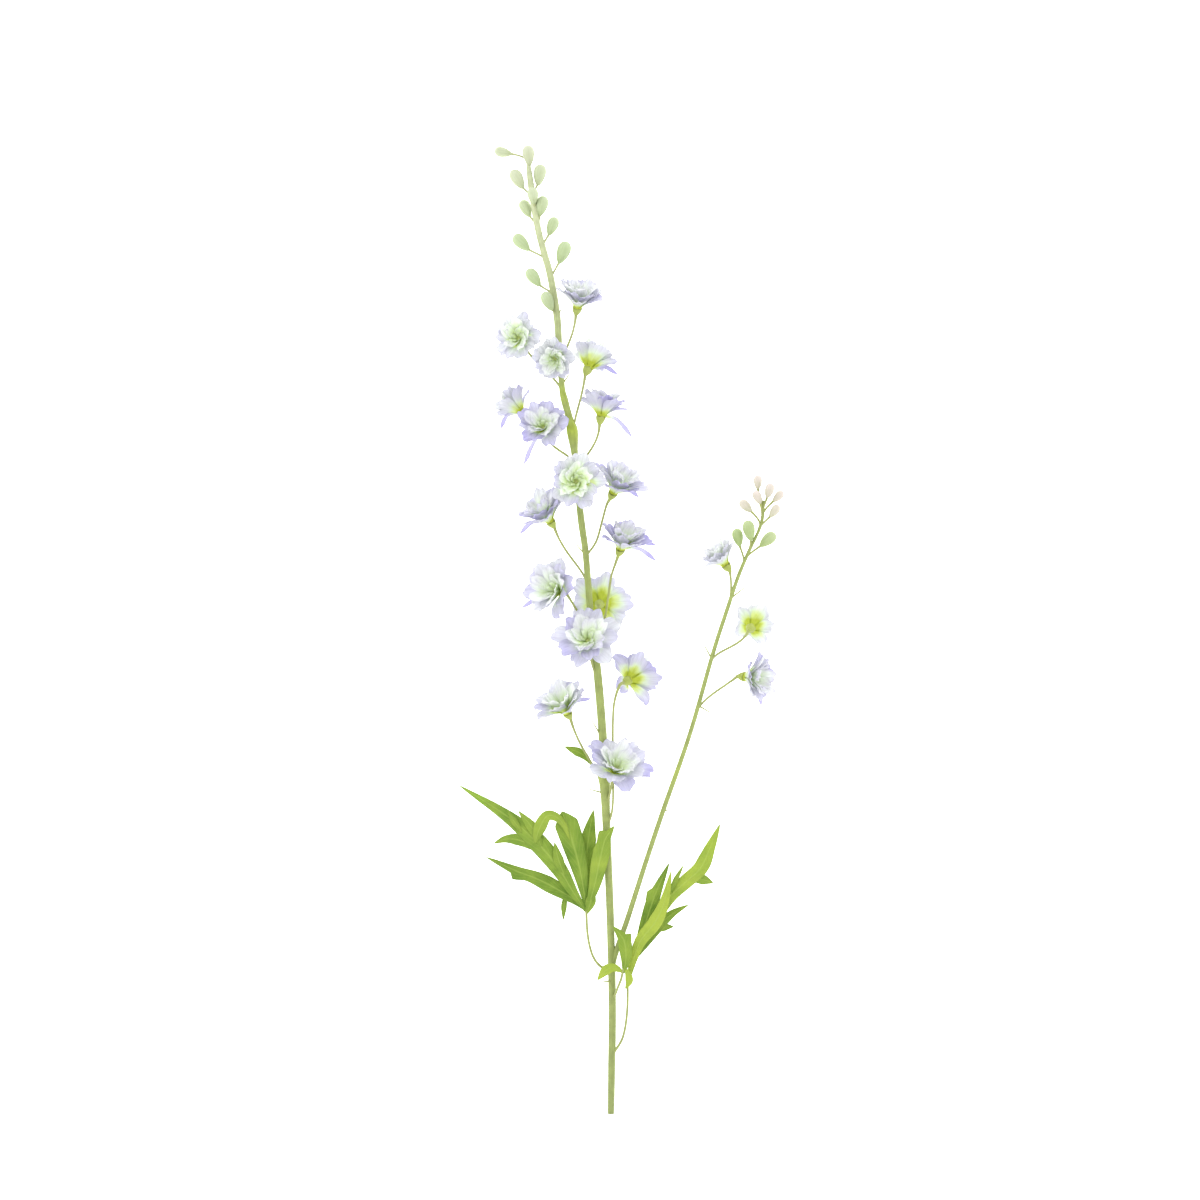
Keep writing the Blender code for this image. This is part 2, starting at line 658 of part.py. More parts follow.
def tail(name, bloom, tip, collection):
    """A thin petal that arches from the bloom's foot to its tip."""
    facing = Vector(bloom.facing).normalized()
    reach = Vector(tip) - Vector(bloom.calyx)
    outward = (reach - facing * reach.dot(facing)).normalized()
    foot = along_facing(bloom, TAIL_FOOT_HEIGHT) + outward * TAIL_FOOT_OUT
    middle = foot.lerp(Vector(tip), TAIL_MIDDLE) + facing * TAIL_ARCH
    route = smooth_route([foot, middle, tip], 4)
    shape = bmesh.new()
    bmesh.ops.create_grid(shape, x_segments=1, y_segments=TAIL_CELLS, size=1.0)
    for vert in shape.verts:
        side = round(vert.co.x)
        share = (vert.co.y + 1.0) / 2.0
        place = point_at_length(route, share)
        ahead = point_at_length(route, min(1.0, share + 0.02))
        behind = point_at_length(route, max(0.0, share - 0.02))
        across = Vector((0.0, 0.0, 1.0)).cross(ahead - behind).normalized()
        vert.co = place + across * side * mix(TAIL_WIDTH, TAIL_TIP_WIDTH, share**3)
    bmesh.ops.triangulate(shape, faces=shape.faces)
    bmesh.ops.recalc_face_normals(shape, faces=shape.faces)
    obj = object_from_bmesh(name, shape, collection)
    thicken(obj, PETAL_THICKNESS)


def press_flat(obj):
    """What lies on the surface is flat against it."""
    for vert in obj.data.vertices:
        if vert.co.z < PRESSED_HEIGHT * MM:
            vert.co.z = 0.0


def thicken(obj, thickness):
    """Solidify, evenly on both sides."""
    shell = obj.modifiers.new("Solidify", "SOLIDIFY")
    shell.thickness = thickness * MM
    shell.offset = 0.0
    apply_modifiers(obj)


def apply_modifiers(obj):
    """Replaces the object's mesh by what its modifiers make of it."""
    bpy.context.view_layer.update()
    evaluated = obj.evaluated_get(bpy.context.evaluated_depsgraph_get())
    finished = bpy.data.meshes.new_from_object(evaluated)
    old = obj.data
    obj.modifiers.clear()
    obj.data = finished
    bpy.data.meshes.remove(old)


def bloom_frame(bloom):
    return axis_frame(bloom.calyx, bloom.facing) @ Matrix.Rotation(radians(bloom.spin), 4, "Z")


def whorl_petals(bloom, whorl, collection):
    for index in range(whorl.count):
        angle = 2.0 * pi * index / whorl.count + radians(whorl.phase)
        petal(f"{bloom.name}_petal", whorl, bloom, angle, collection)


def along_facing(bloom, height):
    return Vector(bloom.calyx) + Vector(bloom.facing).normalized() * height


def keep_outer_shell(obj):
    """Fills hollows that a union sealed and drops loose scraps: only the largest shell stays."""
    shape = bmesh.new()
    shape.from_mesh(obj.data)
    bmesh.ops.triangulate(shape, faces=shape.faces)
    unseen = set(shape.faces)
    shells = []
    while unseen:
        shell = []
        waiting = [unseen.pop()]
        while waiting:
            face = waiting.pop()
            shell.append(face)
            for edge in face.edges:
                for other in edge.link_faces:
                    if other in unseen:
                        unseen.remove(other)
                        waiting.append(other)
        shells.append(shell)
    shells.sort(key=lambda shell: sum(face.calc_area() for face in shell))
    for shell in shells[:-1]:
        bmesh.ops.delete(shape, geom=shell, context="FACES")
    bmesh.ops.dissolve_limit(shape, angle_limit=radians(FLAT_ANGLE), verts=shape.verts, edges=shape.edges)
    bmesh.ops.triangulate(shape, faces=shape.faces)
    shape.to_mesh(obj.data)
    shape.free()


def union(name, base, pieces, material, parts, cutters=None):
    """Joins the pieces to the base in one Boolean, cuts the cutters from it, and removes them all."""
    if pieces.objects:
        join = base.modifiers.new("Union", "BOOLEAN")
        join.operation = "UNION"
        join.operand_type = "COLLECTION"
        join.collection = pieces
        join.solver = "EXACT"
    for cutter in cutters or []:
        cut = base.modifiers.new("Cut", "BOOLEAN")
        cut.operation = "DIFFERENCE"
        cut.object = cutter
        cut.solver = "EXACT"
    apply_modifiers(base)
    keep_outer_shell(base)
    for piece in list(pieces.objects):
        bpy.data.objects.remove(piece)
    bpy.data.collections.remove(pieces)
    base.name = name
    base.data.name = name
    base.data.materials.clear()
    base.data.materials.append(material)
    for collection in list(base.users_collection):
        collection.objects.unlink(base)
    parts.objects.link(base)
    return base


def build_stem(name, route, sides, blooms, buds, bracts, material, parts, cutters=None):
    """A stem with all that is green and grew with it: pedicels, calyx cups, buds and bracts."""
    pieces = new_collection(name + "_pieces", hidden=True)
    base = tube(name, route, [point[3] for point in route], sides, parts)
    for bloom in blooms:
        pedicel(bloom.name + "_pedicel", bloom, route, pieces)
        calyx(bloom.name + "_calyx", bloom, pieces)
    for index, bud in enumerate(buds):
        bud_stalk(f"{name}_bud_stalk_{index}", bud, route, pieces)
        bud_body(f"{name}_bud_{index}", bud, pieces)
    for index, bract in enumerate(bracts):
        cone(
            f"{name}_bract_{index}",
            bract.root,
            bract.tip,
            BRACT_RADIUS,
            BRACT_TIP_RADIUS,
            BRACT_SIDES,
            pieces,
        )
    return union(name, base, pieces, material, parts, cutters)


def build_bloom(bloom, petal_material, heart_material, parts):
    """The two whorls of petals on their disc, and the heart that stands in the middle of them."""
    pieces = new_collection(bloom.name + "_pieces", hidden=True)
    base = cone(
        bloom.name,
        bloom.calyx,
        along_facing(bloom, RECEPTACLE_HEIGHT),
        RECEPTACLE_RADIUS,
        RECEPTACLE_RADIUS * RECEPTACLE_TAPER,
        RECEPTACLE_SIDES,
        parts,
        bloom.spin + 180.0 / RECEPTACLE_SIDES,
    )
    whorl_petals(bloom, OUTER_WHORL, pieces)
    whorl_petals(bloom, MIDDLE_WHORL, pieces)
    for index, tip in enumerate(TAIL_TIPS.get(bloom.name, [])):
        tail(f"{bloom.name}_tail_{index}", bloom, tip, pieces)
    union(bloom.name, base, pieces, petal_material, parts)
    heart_pieces = new_collection(bloom.name + "_heart_pieces", hidden=True)
    heart = cone(
        bloom.name + "_heart",
        along_facing(bloom, HEART_FOOT),
        along_facing(bloom, HEART_TOP),
        HEART_RADIUS,
        HEART_RADIUS * RECEPTACLE_TAPER,
        RECEPTACLE_SIDES,
        parts,
        bloom.spin + HEART_WHORL.phase + 180.0 / RECEPTACLE_SIDES,
    )
    whorl_petals(bloom, HEART_WHORL, heart_pieces)
    union(bloom.name + "_heart", heart, heart_pieces, heart_material, parts)


def lobe_half_width(lobe, share):
    """Half the width of a lobe's plain outline at this share of its length."""
    rise = min(1.0, share / lobe.widest)
    fall = min(1.0, (1.0 - share) / (1.0 - lobe.widest))
    return LOBE_TIP + (lobe.half_width - LOBE_TIP) * sin(rise * pi / 2.0) * fall**0.8


def build_lobe(name, lobe, collection):
    """A lobe: a strip along its midrib, three points across, with teeth pulled out of its edges."""
    midrib = smooth_route(lobe.midrib, 6)
    shape = bmesh.new()
    bmesh.ops.create_grid(shape, x_segments=2, y_segments=lobe.cells, size=1.0)
    for vert in shape.verts:
        side = -round(vert.co.x)
        share = (vert.co.y + 1.0) / 2.0
        step = 1.0 / lobe.cells
        place = point_at_length(midrib, share)
        ahead = point_at_length(midrib, min(1.0, share + 0.02))
        behind = point_at_length(midrib, max(0.0, share - 0.02))
        along = (ahead - behind).normalized()
        left = Vector((0.0, 0.0, 1.0)).cross(along).normalized()
        width = lobe_half_width(lobe, share)
        reach = 0.0
        for tooth_share, tooth_side, tooth_reach in lobe.teeth:
            if side == tooth_side and abs(share - tooth_share) < step * 0.5:
                reach = tooth_reach
        place = place + left * side * (width + reach) + along * reach * 0.9
        place.z -= LOBE_FOLD * (width + reach) * abs(side)
        place.z = max(place.z, LEAF_THICKNESS / 2.0)
        vert.co = place
    bmesh.ops.triangulate(shape, faces=shape.faces)
    bmesh.ops.recalc_face_normals(shape, faces=shape.faces)
    obj = object_from_bmesh(name, shape, collection)
    thicken(obj, LEAF_THICKNESS)
    press_flat(obj)
    return obj


def build_leaf(name, stalk, lobes, material, parts, cutters):
    """A leaf: its stalk and its lobes in one piece."""
    pieces = new_collection(name + "_pieces", hidden=True)
    fine = smooth_route(stalk, 2)
    base = tube(name, fine, [point[3] for point in fine], LEAF_STALK_SIDES, parts)
    for index, lobe in enumerate(lobes):
        build_lobe(f"{name}_lobe_{index}", lobe, pieces)
    return union(name, base, pieces, material, parts, cutters)


def seat_cutter(name, route, sides, collection):
    """The stem's tube made larger by the gap that touching pieces keep."""
    cutter = tube(name, route, [point[3] + SEAT_GAP for point in route], sides, collection)
    cutter.hide_render = True
    cutter.display_type = "WIRE"
    return cutter


def shade_round(obj):
    obj.data.shade_smooth()
    obj.data.set_sharp_from_angle(angle=radians(50.0))


def move_to_origin(parts):
    """Puts the bottom centre of all the pieces' common box at the origin, in the meshes themselves."""
    low = Vector((1e9, 1e9, 1e9))
    high = -low
    for obj in parts.objects:
        for vert in obj.data.vertices:
            for axis in range(3):
                low[axis] = min(low[axis], vert.co[axis])
                high[axis] = max(high[axis], vert.co[axis])
    shift = Vector((-(low.x + high.x) / 2.0, -(low.y + high.y) / 2.0, -low.z))
    for obj in parts.objects:
        obj.data.transform(Matrix.Translation(shift))


def main():
    clear_scene()
    parts = new_collection(COLLECTION_NAME)
    helpers = new_collection("cutters", hidden=True)
    stem_green = plain_material("stem_green", (0.36, 0.43, 0.16), 0.6)
    leaf_green = plain_material("leaf_green", (0.20, 0.37, 0.05), 0.55)
    petal_white = plain_material("petal_white", (0.72, 0.71, 0.86), 0.7)
    heart_lime = plain_material("heart_lime", (0.60, 0.75, 0.35), 0.7)

    stem_cutter = seat_cutter("stem_cutter", STEM_ROUTE, STEM_SIDES, helpers)
    build_stem("main_stem", STEM_ROUTE, STEM_SIDES, MAIN_BLOOMS, MAIN_BUDS, MAIN_BRACTS, stem_green, parts)
    build_stem(
        "side_branch",
        BRANCH_ROUTE,
        BRANCH_SIDES,
        BRANCH_BLOOMS,
        BRANCH_BUDS,
        BRANCH_BRACTS,
        stem_green,
        parts,
        [stem_cutter],
    )
    build_leaf("leaf_left", LEFT_LEAF_STALK, LEFT_LEAF_LOBES, leaf_green, parts, [stem_cutter])
    build_leaf("leaf_right", RIGHT_LEAF_STALK, RIGHT_LEAF_LOBES, leaf_green, parts, [stem_cutter])
    build_leaf("leaf_fork", FORK_LEAF_STALK, FORK_LEAF_LOBES, leaf_green, parts, [stem_cutter])
    build_leaf("leaf_upper", UPPER_LEAF_STALK, UPPER_LEAF_LOBES, leaf_green, parts, [stem_cutter])
    for bloom in MAIN_BLOOMS + BRANCH_BLOOMS:
        build_bloom(bloom, petal_white, heart_lime, parts)
    for obj in parts.objects:
        shade_round(obj)
    move_to_origin(parts)


main()
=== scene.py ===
# %% [markdown]
# # A delphinium spike, laid down
# This script dresses one cut stem of a pale double delphinium. The stem has no vase, so it lies on a table
# and the camera looks straight down on it. The plain solids of the part are loaded first. They stay the
# measure of every size here, and each finer piece below stands in for one or more of them.

from collections import namedtuple
from math import cos, pi, radians, sin
from random import Random

import bmesh
import bpy
from mathutils import Matrix, Vector


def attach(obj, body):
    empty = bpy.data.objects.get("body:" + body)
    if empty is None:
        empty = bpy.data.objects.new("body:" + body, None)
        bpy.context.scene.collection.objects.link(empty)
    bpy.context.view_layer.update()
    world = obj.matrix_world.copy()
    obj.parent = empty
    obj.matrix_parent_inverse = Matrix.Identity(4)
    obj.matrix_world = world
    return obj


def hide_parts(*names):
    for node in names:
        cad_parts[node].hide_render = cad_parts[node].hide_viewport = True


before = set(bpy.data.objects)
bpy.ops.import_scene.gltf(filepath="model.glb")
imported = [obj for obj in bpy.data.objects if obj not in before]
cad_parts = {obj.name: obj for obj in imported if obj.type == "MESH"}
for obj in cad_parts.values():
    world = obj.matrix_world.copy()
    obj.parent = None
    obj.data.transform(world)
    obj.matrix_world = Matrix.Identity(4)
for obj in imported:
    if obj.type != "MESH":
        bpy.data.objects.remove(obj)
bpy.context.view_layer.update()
print("loaded", len(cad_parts), "solids")

# %% [markdown]
# ## Where things are
# The places below are in millimetres from the cut foot of the stem, seen from above, with the height above
# the table as the third number. The frame has its origin in the middle of the whole spike instead. The foot
# of the loaded stem gives the way from one to the other, so no piece needs fitting by eye.

# %% From the cut foot to the frame
MM = 0.001
UP = Vector((0.0, 0.0, 1.0))
FOOT_HEIGHT = 2.9
CUT_DEPTH = 0.5

stem_points = [vert.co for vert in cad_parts["main_stem"].data.vertices]
lowest = min(point.y for point in stem_points)
cut_ring = [point for point in stem_points if point.y < lowest + CUT_DEPTH * MM]
foot = sum(cut_ring, Vector()) / len(cut_ring)
ORIGIN = foot - UP * (FOOT_HEIGHT * MM)
print("cut foot at", [round(value, 4) for value in foot])

# %% [markdown]
# ## Camera, table and light
# The photograph is square and shows the spike from far away with hardly any perspective, against plain
# white. A camera three metres up with a long lens gives that. Its frame is as wide as the photograph's,
# where the spike's 0.85 m take up 970 of 1200 pixels.

# %% Camera
SPIKE_LENGTH = 850.0
SPIKE_PIXELS = 970.0
IMAGE_PIXELS = 1200.0
FRAME_WIDTH = SPIKE_LENGTH / SPIKE_PIXELS * IMAGE_PIXELS
VIEW_MIDDLE = Vector((-9.6, 453.8, 27.0))
CAMERA_DISTANCE = 3000.0
SENSOR_WIDTH = 36.0


def add_object(name, data):
    """A new object in the scene."""
    made = bpy.data.objects.new(name, data)
    bpy.context.scene.collection.objects.link(made)
    return made


camera_data = bpy.data.cameras.new("camera")
camera_data.sensor_width = SENSOR_WIDTH
camera_data.lens = SENSOR_WIDTH * CAMERA_DISTANCE / FRAME_WIDTH
camera = add_object("camera", camera_data)
camera.location = VIEW_MIDDLE * MM + ORIGIN + UP * (CAMERA_DISTANCE * MM)
bpy.context.scene.camera = camera
bpy.context.scene.view_settings.view_transform = "Standard"
print("lens", round(camera_data.lens, 1), "mm")

# %% [markdown]
# The white card under the spike is a little brighter than white where the light falls on it, so it comes out
# as the clean white of the photograph and takes only faint shadows close to the stem.


# %% Shader nodes
def feed(tree, socket, value):
    """Links another node's socket to this one, or sets its value, which for a colour is a tuple of three."""
    if isinstance(value, bpy.types.NodeSocket):
        tree.links.new(value, socket)
    elif isinstance(value, tuple):
        socket.default_value = (*value, 1.0)
    else:
        socket.default_value = value


def add_node(tree, kind, inputs=None, **settings):
    """A shader node with its settings and what feeds its inputs."""
    made = tree.nodes.new(kind)
    for name, value in settings.items():
        setattr(made, name, value)
    for name, value in (inputs or {}).items():
        feed(tree, made.inputs[name], value)
    return made


def map_range(tree, value, low, high, new_low, new_high):
    """The value moved from one range to another."""
    limits = {"From Min": low, "From Max": high, "To Min": new_low, "To Max": new_high}
    return add_node(tree, "ShaderNodeMapRange", {"Value": value, **limits}).outputs["Result"]


def new_material(name, roughness, gloss=0.5):
    """A material with its tree and its Principled shader."""
    material = bpy.data.materials.new(name)
    material.use_nodes = True
    shader = material.node_tree.nodes["Principled BSDF"]
    shader.inputs["Roughness"].default_value = roughness
    shader.inputs["Specular IOR Level"].default_value = gloss
    return material, material.node_tree, shader


# %% Table
WHITE = (1.0, 1.0, 1.0)
TABLE_SIZE = 8.0
TABLE_GLOW = 1.2
CARD_GRAIN = 40.0
CARD_TONES = (0.93, 0.95)


def add_mesh(name, shape):
    """The finished shape as an object in the scene."""
    mesh = bpy.data.meshes.new(name)
    shape.to_mesh(mesh)
    shape.free()
    return add_object(name, mesh)


card, card_tree, card_shader = new_material("white_card", roughness=0.9)
grain = add_node(card_tree, "ShaderNodeTexNoise", {"Scale": CARD_GRAIN}).outputs["Fac"]
feed(card_tree, card_shader.inputs["Base Color"], map_range(card_tree, grain, 0.0, 1.0, *CARD_TONES))
feed(card_tree, card_shader.inputs["Emission Color"], WHITE)
card_shader.inputs["Emission Strength"].default_value = TABLE_GLOW

shape = bmesh.new()
bmesh.ops.create_grid(shape, x_segments=1, y_segments=1, size=TABLE_SIZE / 2.0)
table = add_mesh("table", shape)
table.data.materials.append(card)

# %% [markdown]
# The light is that of a white photo tent: an even glow from all round, and one large soft lamp from the upper
# left that gives the petals and ribs a little shape.

# %% Light
GLOW = 1.6
LAMP_POWER = 5.0
LAMP_SIZE = 1.6
LAMP_PLACE = (-1.1, 0.9, 1.9)

world = bpy.data.worlds.new("photo_tent")
world.use_nodes = True
tent = world.node_tree.nodes["Background"]
feed(world.node_tree, tent.inputs["Color"], WHITE)
tent.inputs["Strength"].default_value = GLOW
bpy.context.scene.world = world

lamp_data = bpy.data.lights.new("soft_lamp", "AREA")
lamp_data.energy = LAMP_POWER
lamp_data.size = LAMP_SIZE
lamp = add_object("soft_lamp", lamp_data)
lamp.location = LAMP_PLACE
lamp.rotation_euler = (-lamp.location).to_track_quat("-Z", "Y").to_euler()

# %% [markdown]
# ## The modelling tools
# Petals, leaves, stalks and buds are all one sheet of cells that is bent: a petal is a bent sheet, a stalk is
# a sheet rolled up, a bud is a roll that swells and closes. So one helper makes a flat grid and asks a
# function where each of its points goes. It also keeps the flat sheet as a UV map, which the veins and the
# fading of colour follow, and a tone from 0 to 1 that lets each petal or bud differ a little.


# %% Bent sheets
def mix(first, second, share):
    return first + (second - first) * share


def new_shape():
    """An empty bmesh with the UV map, the tone and the reach of the lime green that a piece may use."""
    shape = bmesh.new()
    shape.loops.layers.uv.new("surface")
    shape.verts.layers.float.new("tone")
    shape.verts.layers.float.new("lime")
    return shape


def paint(shape, verts, layer, value):
    """Gives these points a value that the materials read."""
    values = shape.verts.layers.float[layer]
    for vert in verts:
        vert[values] = value


def add_sheet(shape, columns, rows, place, tone):
    """A grid whose points go to place(across, along), across from -1 to 1 and along from 0 to 1."""
    verts = bmesh.ops.create_grid(shape, x_segments=columns, y_segments=rows, size=1.0)["verts"]
    surface = shape.loops.layers.uv["surface"]
    for face in {face for vert in verts for face in vert.link_faces}:
        face.smooth = True
        for loop in face.loops:
            loop[surface].uv = (loop.vert.co.x * 0.5 + 0.5, loop.vert.co.y * 0.5 + 0.5)
    for vert in verts:
        vert.co = place(vert.co.x, vert.co.y * 0.5 + 0.5)
    paint(shape, verts, "tone", tone)
    return verts


def finish_piece(name, shape, materials, nodes=(), thickness=0.0):
    """Puts the shape into the frame as a piece, with its thickness, that stands in for those solids."""
    bmesh.ops.transform(shape, matrix=Matrix.Translation(ORIGIN) @ Matrix.Scale(MM, 4), verts=shape.verts)
    piece = add_mesh(name, shape)
    for material in materials:
        piece.data.materials.append(material)
    if thickness:
        shell = piece.modifiers.new("Thickness", "SOLIDIFY")
        shell.thickness = thickness * MM
        shell.offset = 0.0
    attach(piece, "root")
    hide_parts(*nodes)
    print(name, "has", len(piece.data.polygons), "cells")


# %% [markdown]
# Stems, leaf stalks and midribs follow a smooth curve through a few given points, the same curve that
# the solids use. A route may carry more values than the place, such as the radius at each point. The stalks
# of blooms and buds bend between two ends only, and a cubic curve does that.


# %% Smooth routes
def curve_point(before, start, end, after, share):
    """A point of the smooth curve from start to end, between their neighbours."""
    square = share * share
    cube = square * share
    return 0.5 * (
        2.0 * start
        + (end - before) * share
        + (2.0 * before - 5.0 * start + 4.0 * end - after) * square
        + (3.0 * start - before - 3.0 * end + after) * cube
    )


def smooth_route(points, steps):
    """The smooth curve through the points, with this many steps to each stretch."""
    rows = [Vector(point) for point in points]
    padded = [rows[0] * 2.0 - rows[1]] + rows + [rows[-1] * 2.0 - rows[-2]]
    route = []
    for index in range(len(rows) - 1):
        for step in range(steps):
            route.append(curve_point(*padded[index : index + 4], step / steps))
    route.append(rows[-1])
    return route


def even_route(points, count):
    """The route's points spaced evenly along it, count stretches in all."""
    lengths = [0.0]
    for start, end in zip(points, points[1:]):
        lengths.append(lengths[-1] + (end.to_3d() - start.to_3d()).length)
    even = []
    index = 1
    for step in range(count + 1):
        wanted = lengths[-1] * step / count
        while index < len(points) - 1 and lengths[index] < wanted:
            index += 1
        span = lengths[index] - lengths[index - 1]
        even.append(points[index - 1].lerp(points[index], (wanted - lengths[index - 1]) / span))
    return even


def bezier(start, start_pull, end_pull, end, steps):
    """Points along a cubic curve."""
    points = []
    for step in range(steps + 1):
        done = step / steps
        left = 1.0 - done
        early = start * left**3 + start_pull * (3.0 * left * left * done)
        points.append(early + end_pull * (3.0 * left * done * done) + end * done**3)
    return points


def run_at(points, row):
    """The direction of a route at one of its points."""
    return (points[min(row + 1, len(points) - 1)] - points[max(row - 1, 0)]).normalized()


def route_point_at_y(route, y):
    """The middle line's point at this distance along the stem, and the direction there."""
    for start, end in zip(route, route[1:]):
        if start[1] <= y <= end[1]:
            share = (y - start[1]) / (end[1] - start[1])
            run = Vector(end[:3]) - Vector(start[:3])
            return Vector(start[:3]) + run * share, run.normalized()
    raise ValueError(f"the route has no point at {y}")


def axis_frame(origin, direction):
    """A matrix that takes +Z to the direction and 0 to the origin, with its X level or nearly so."""
    z_axis = Vector(direction).normalized()
    side = Vector((1.0, 0.0, 0.0)) if abs(z_axis.x) < 0.9 else Vector((0.0, 1.0, 0.0))
    y_axis = z_axis.cross(side).normalized()
    x_axis = y_axis.cross(z_axis)
    turn = Matrix((x_axis, y_axis, z_axis)).transposed().to_4x4()
    return Matrix.Translation(Vector(origin)) @ turn


# %% [markdown]
# A stalk is a sheet rolled round its route. The side that the roll starts from is carried along the route
# without a twist, or the ribs of the stem would wind round it. Where the radius comes to nothing the roll
# closes in one point, and an open end is filled with one face.


# %% Rolled stalks
WELD = 0.002


def carried_sides(points):
    """For each point of the route two directions square to it, carried along without a twist."""
    sides = []
    side = None
    for index in range(len(points)):
        along = run_at(points, index)
        if side is None:
            side = along.orthogonal()
        side = (side - along * side.dot(along)).normalized()
        sides.append((side, along.cross(side)))
    return sides


def add_roll(shape, points, radius_at, around, tone=0.5):
    """A sheet rolled round the points. radius_at(angle, along) gives its radius there."""
    points = [Vector(point[:3]) for point in points]
    sides = carried_sides(points)
    rows = len(points) - 1

    def place(across, along):
        row = round(along * rows)
        angle = across * pi
        side, rise = sides[row]
        return points[row] + (side * cos(angle) + rise * sin(angle)) * radius_at(angle, along)

    verts = add_sheet(shape, around, rows, place, tone)
    bmesh.ops.remove_doubles(shape, verts=verts, dist=WELD)
    return [vert for vert in verts if vert.is_valid]


def close_ends(shape):
    """Fills what is still open and points every face outwards."""
    rim = [edge for edge in shape.edges if edge.is_boundary]
    caps = bmesh.ops.holes_fill(shape, edges=rim, sides=0)["faces"]
    bmesh.ops.recalc_face_normals(shape, faces=shape.faces)
    return caps


# %% [markdown]
# ## Blooms
# The real bloom is a double one: ring upon ring of thin petals with cut, wavy edges, which stand on a small
# green disc and open like a fan. Each bloom below is the same as in the solids: where its calyx is, which way
# it faces, how far it opens, how long its petals are, how far it is turned, and where its stalk starts.
# `lilac` says how strong the bloom's lilac is and `lime` how far up its petals the green of their foot
# reaches, because both differ from bloom to bloom.

# %% The table of blooms
Bloom = namedtuple("Bloom", "name calyx facing openness petal spin joint lilac lime")

MAIN_BLOOMS = [
    Bloom("bloom_01", (-29.5, 708.5, 35), (0.2, 0.86, 0.45), 0.35, 27, 45, 653, 0.2, 0.16),
    Bloom("bloom_02", (-79, 681, 38), (-0.25, 0.15, 0.95), 0.7, 24, 0, 632, 0.1, 0.34),
    Bloom("bloom_03", (-48, 666, 42), (-0.15, -0.3, 0.94), 0.5, 23, 20, 642, 0.1, 0.26),
    Bloom("bloom_04", (-20.5, 656, 24), (0.34, 0.82, -0.42), 0.3, 26.5, 5, 592, 0.15, 0.36),
    Bloom("bloom_05", (-78, 618.5, 25), (-0.62, 0.7, -0.28), 0.25, 23.5, 15, 603, 0.25, 0.22),
    Bloom("bloom_06", (-58, 602, 35), (-0.15, 0.4, 0.9), 0.6, 26, 0, 570, 0.5, 0.24),
    Bloom("bloom_07", (-9, 613.5, 27), (0.16, 0.95, -0.1), 0.42, 27.5, 22, 560, 0.6, 0.2),
    Bloom("bloom_08", (-30.5, 556, 44), (0, 0.12, 1), 0.8, 27, 0, 519, 0.2, 0.4),
    Bloom("bloom_09", (1.5, 547, 24), (0.42, 0.78, 0.45), 0.35, 30, 12, 492, 0.45, 0.2),
    Bloom("bloom_10", (-52.6, 522, 29), (-0.5, 0.76, 0.42), 0.4, 29.5, 0, 462, 0.5, 0.16),
    Bloom("bloom_11", (8, 497.5, 29), (0.3, 0.86, 0.42), 0.45, 28, 4, 412, 0.55, 0.18),
    Bloom("bloom_12", (-43, 461, 33), (-0.62, 0.2, 0.73), 0.6, 32, 0, 405, 0.25, 0.22),
    Bloom("bloom_13", (-10, 450, 16.9), (0.1, 0.1, -1), 0.8, 31, 0, 419, 0.3, 0.44),
    Bloom("bloom_14", (-20, 416, 44), (-0.05, 0.42, 0.9), 0.85, 33, 30, 375, 0.35, 0.2),
    Bloom("bloom_15", (14.5, 383, 27), (0.55, 0.3, -0.78), 0.5, 29.5, 0, 254, 0.75, 0.38),
    Bloom("bloom_16", (-38, 354.5, 31), (-0.42, 0.76, 0.5), 0.5, 30, 0, 279, 0.1, 0.24),
    Bloom("bloom_17", (3, 302, 36), (0.25, 0.66, 0.66), 0.8, 34, 0, 262, 0.35, 0.18),
]
BRANCH_BLOOMS = [
    Bloom("side_bloom_1", (101, 484, 25), (-0.55, 0.8, 0.2), 0.3, 22, 0, 448, 0.1, 0.16),
    Bloom("side_bloom_2", (122.6, 429, 22), (0.3, 0.3, -0.85), 0.4, 23, 0, 398, 0.1, 0.46),
    Bloom("side_bloom_3", (116.5, 386.5, 24), (0.86, -0.06, 0.5), 0.4, 28, 0, 352, 0.45, 0.14),
]
BLOOMS = MAIN_BLOOMS + BRANCH_BLOOMS
print(len(BLOOMS), "blooms")

# %% [markdown]
# A whorl is one ring of petals. The whorls of a bloom differ in how steeply their petals leave the disc, how
# far they bend over and how long they are, each for a shut and for a fully open bloom. The outer whorl lies
# flattest. The second fills the gaps between its petals, and the others stand up more and more towards the
# heart. `lean` tilts each petal, as in a pinwheel, so that it lies over its neighbour's edge.

# %% The whorls
Whorl = namedtuple(
    "Whorl", "count steep_start steep_end foot_radius foot_height claw length width lean phase"
)

PETAL_WHORLS = [
    Whorl(5, (24, 52), (60, 94), 2.6, 0.9, 1.1, (1, 1), 0.58, 0.14, 0),
    Whorl(5, (18, 44), (44, 82), 2.3, 1.8, 1, (1.04, 0.93), 0.54, 0.14, 36),
    Whorl(5, (13, 32), (30, 62), 1.8, 2.8, 0.7, (1.12, 0.82), 0.46, 0.2, 10),
    Whorl(4, (10, 28), (24, 54), 1.6, 3.4, 0.6, (0.95, 0.66), 0.38, 0.25, 50),
]
HEART_WHORLS = [
    Whorl(6, (16, 28), (34, 60), 1.5, 4.4, 0.5, (0.5, 0.5), 0.24, 0.3, 20),
    Whorl(5, (12, 22), (26, 50), 1.1, 5.4, 0.35, (0.36, 0.36), 0.16, 0.3, 10),
]
PETAL_COLUMNS = 12
PETAL_ROWS = 12
HEART_COLUMNS = 4
HEART_ROWS = 6
SHEET_CLEARANCE = 0.25

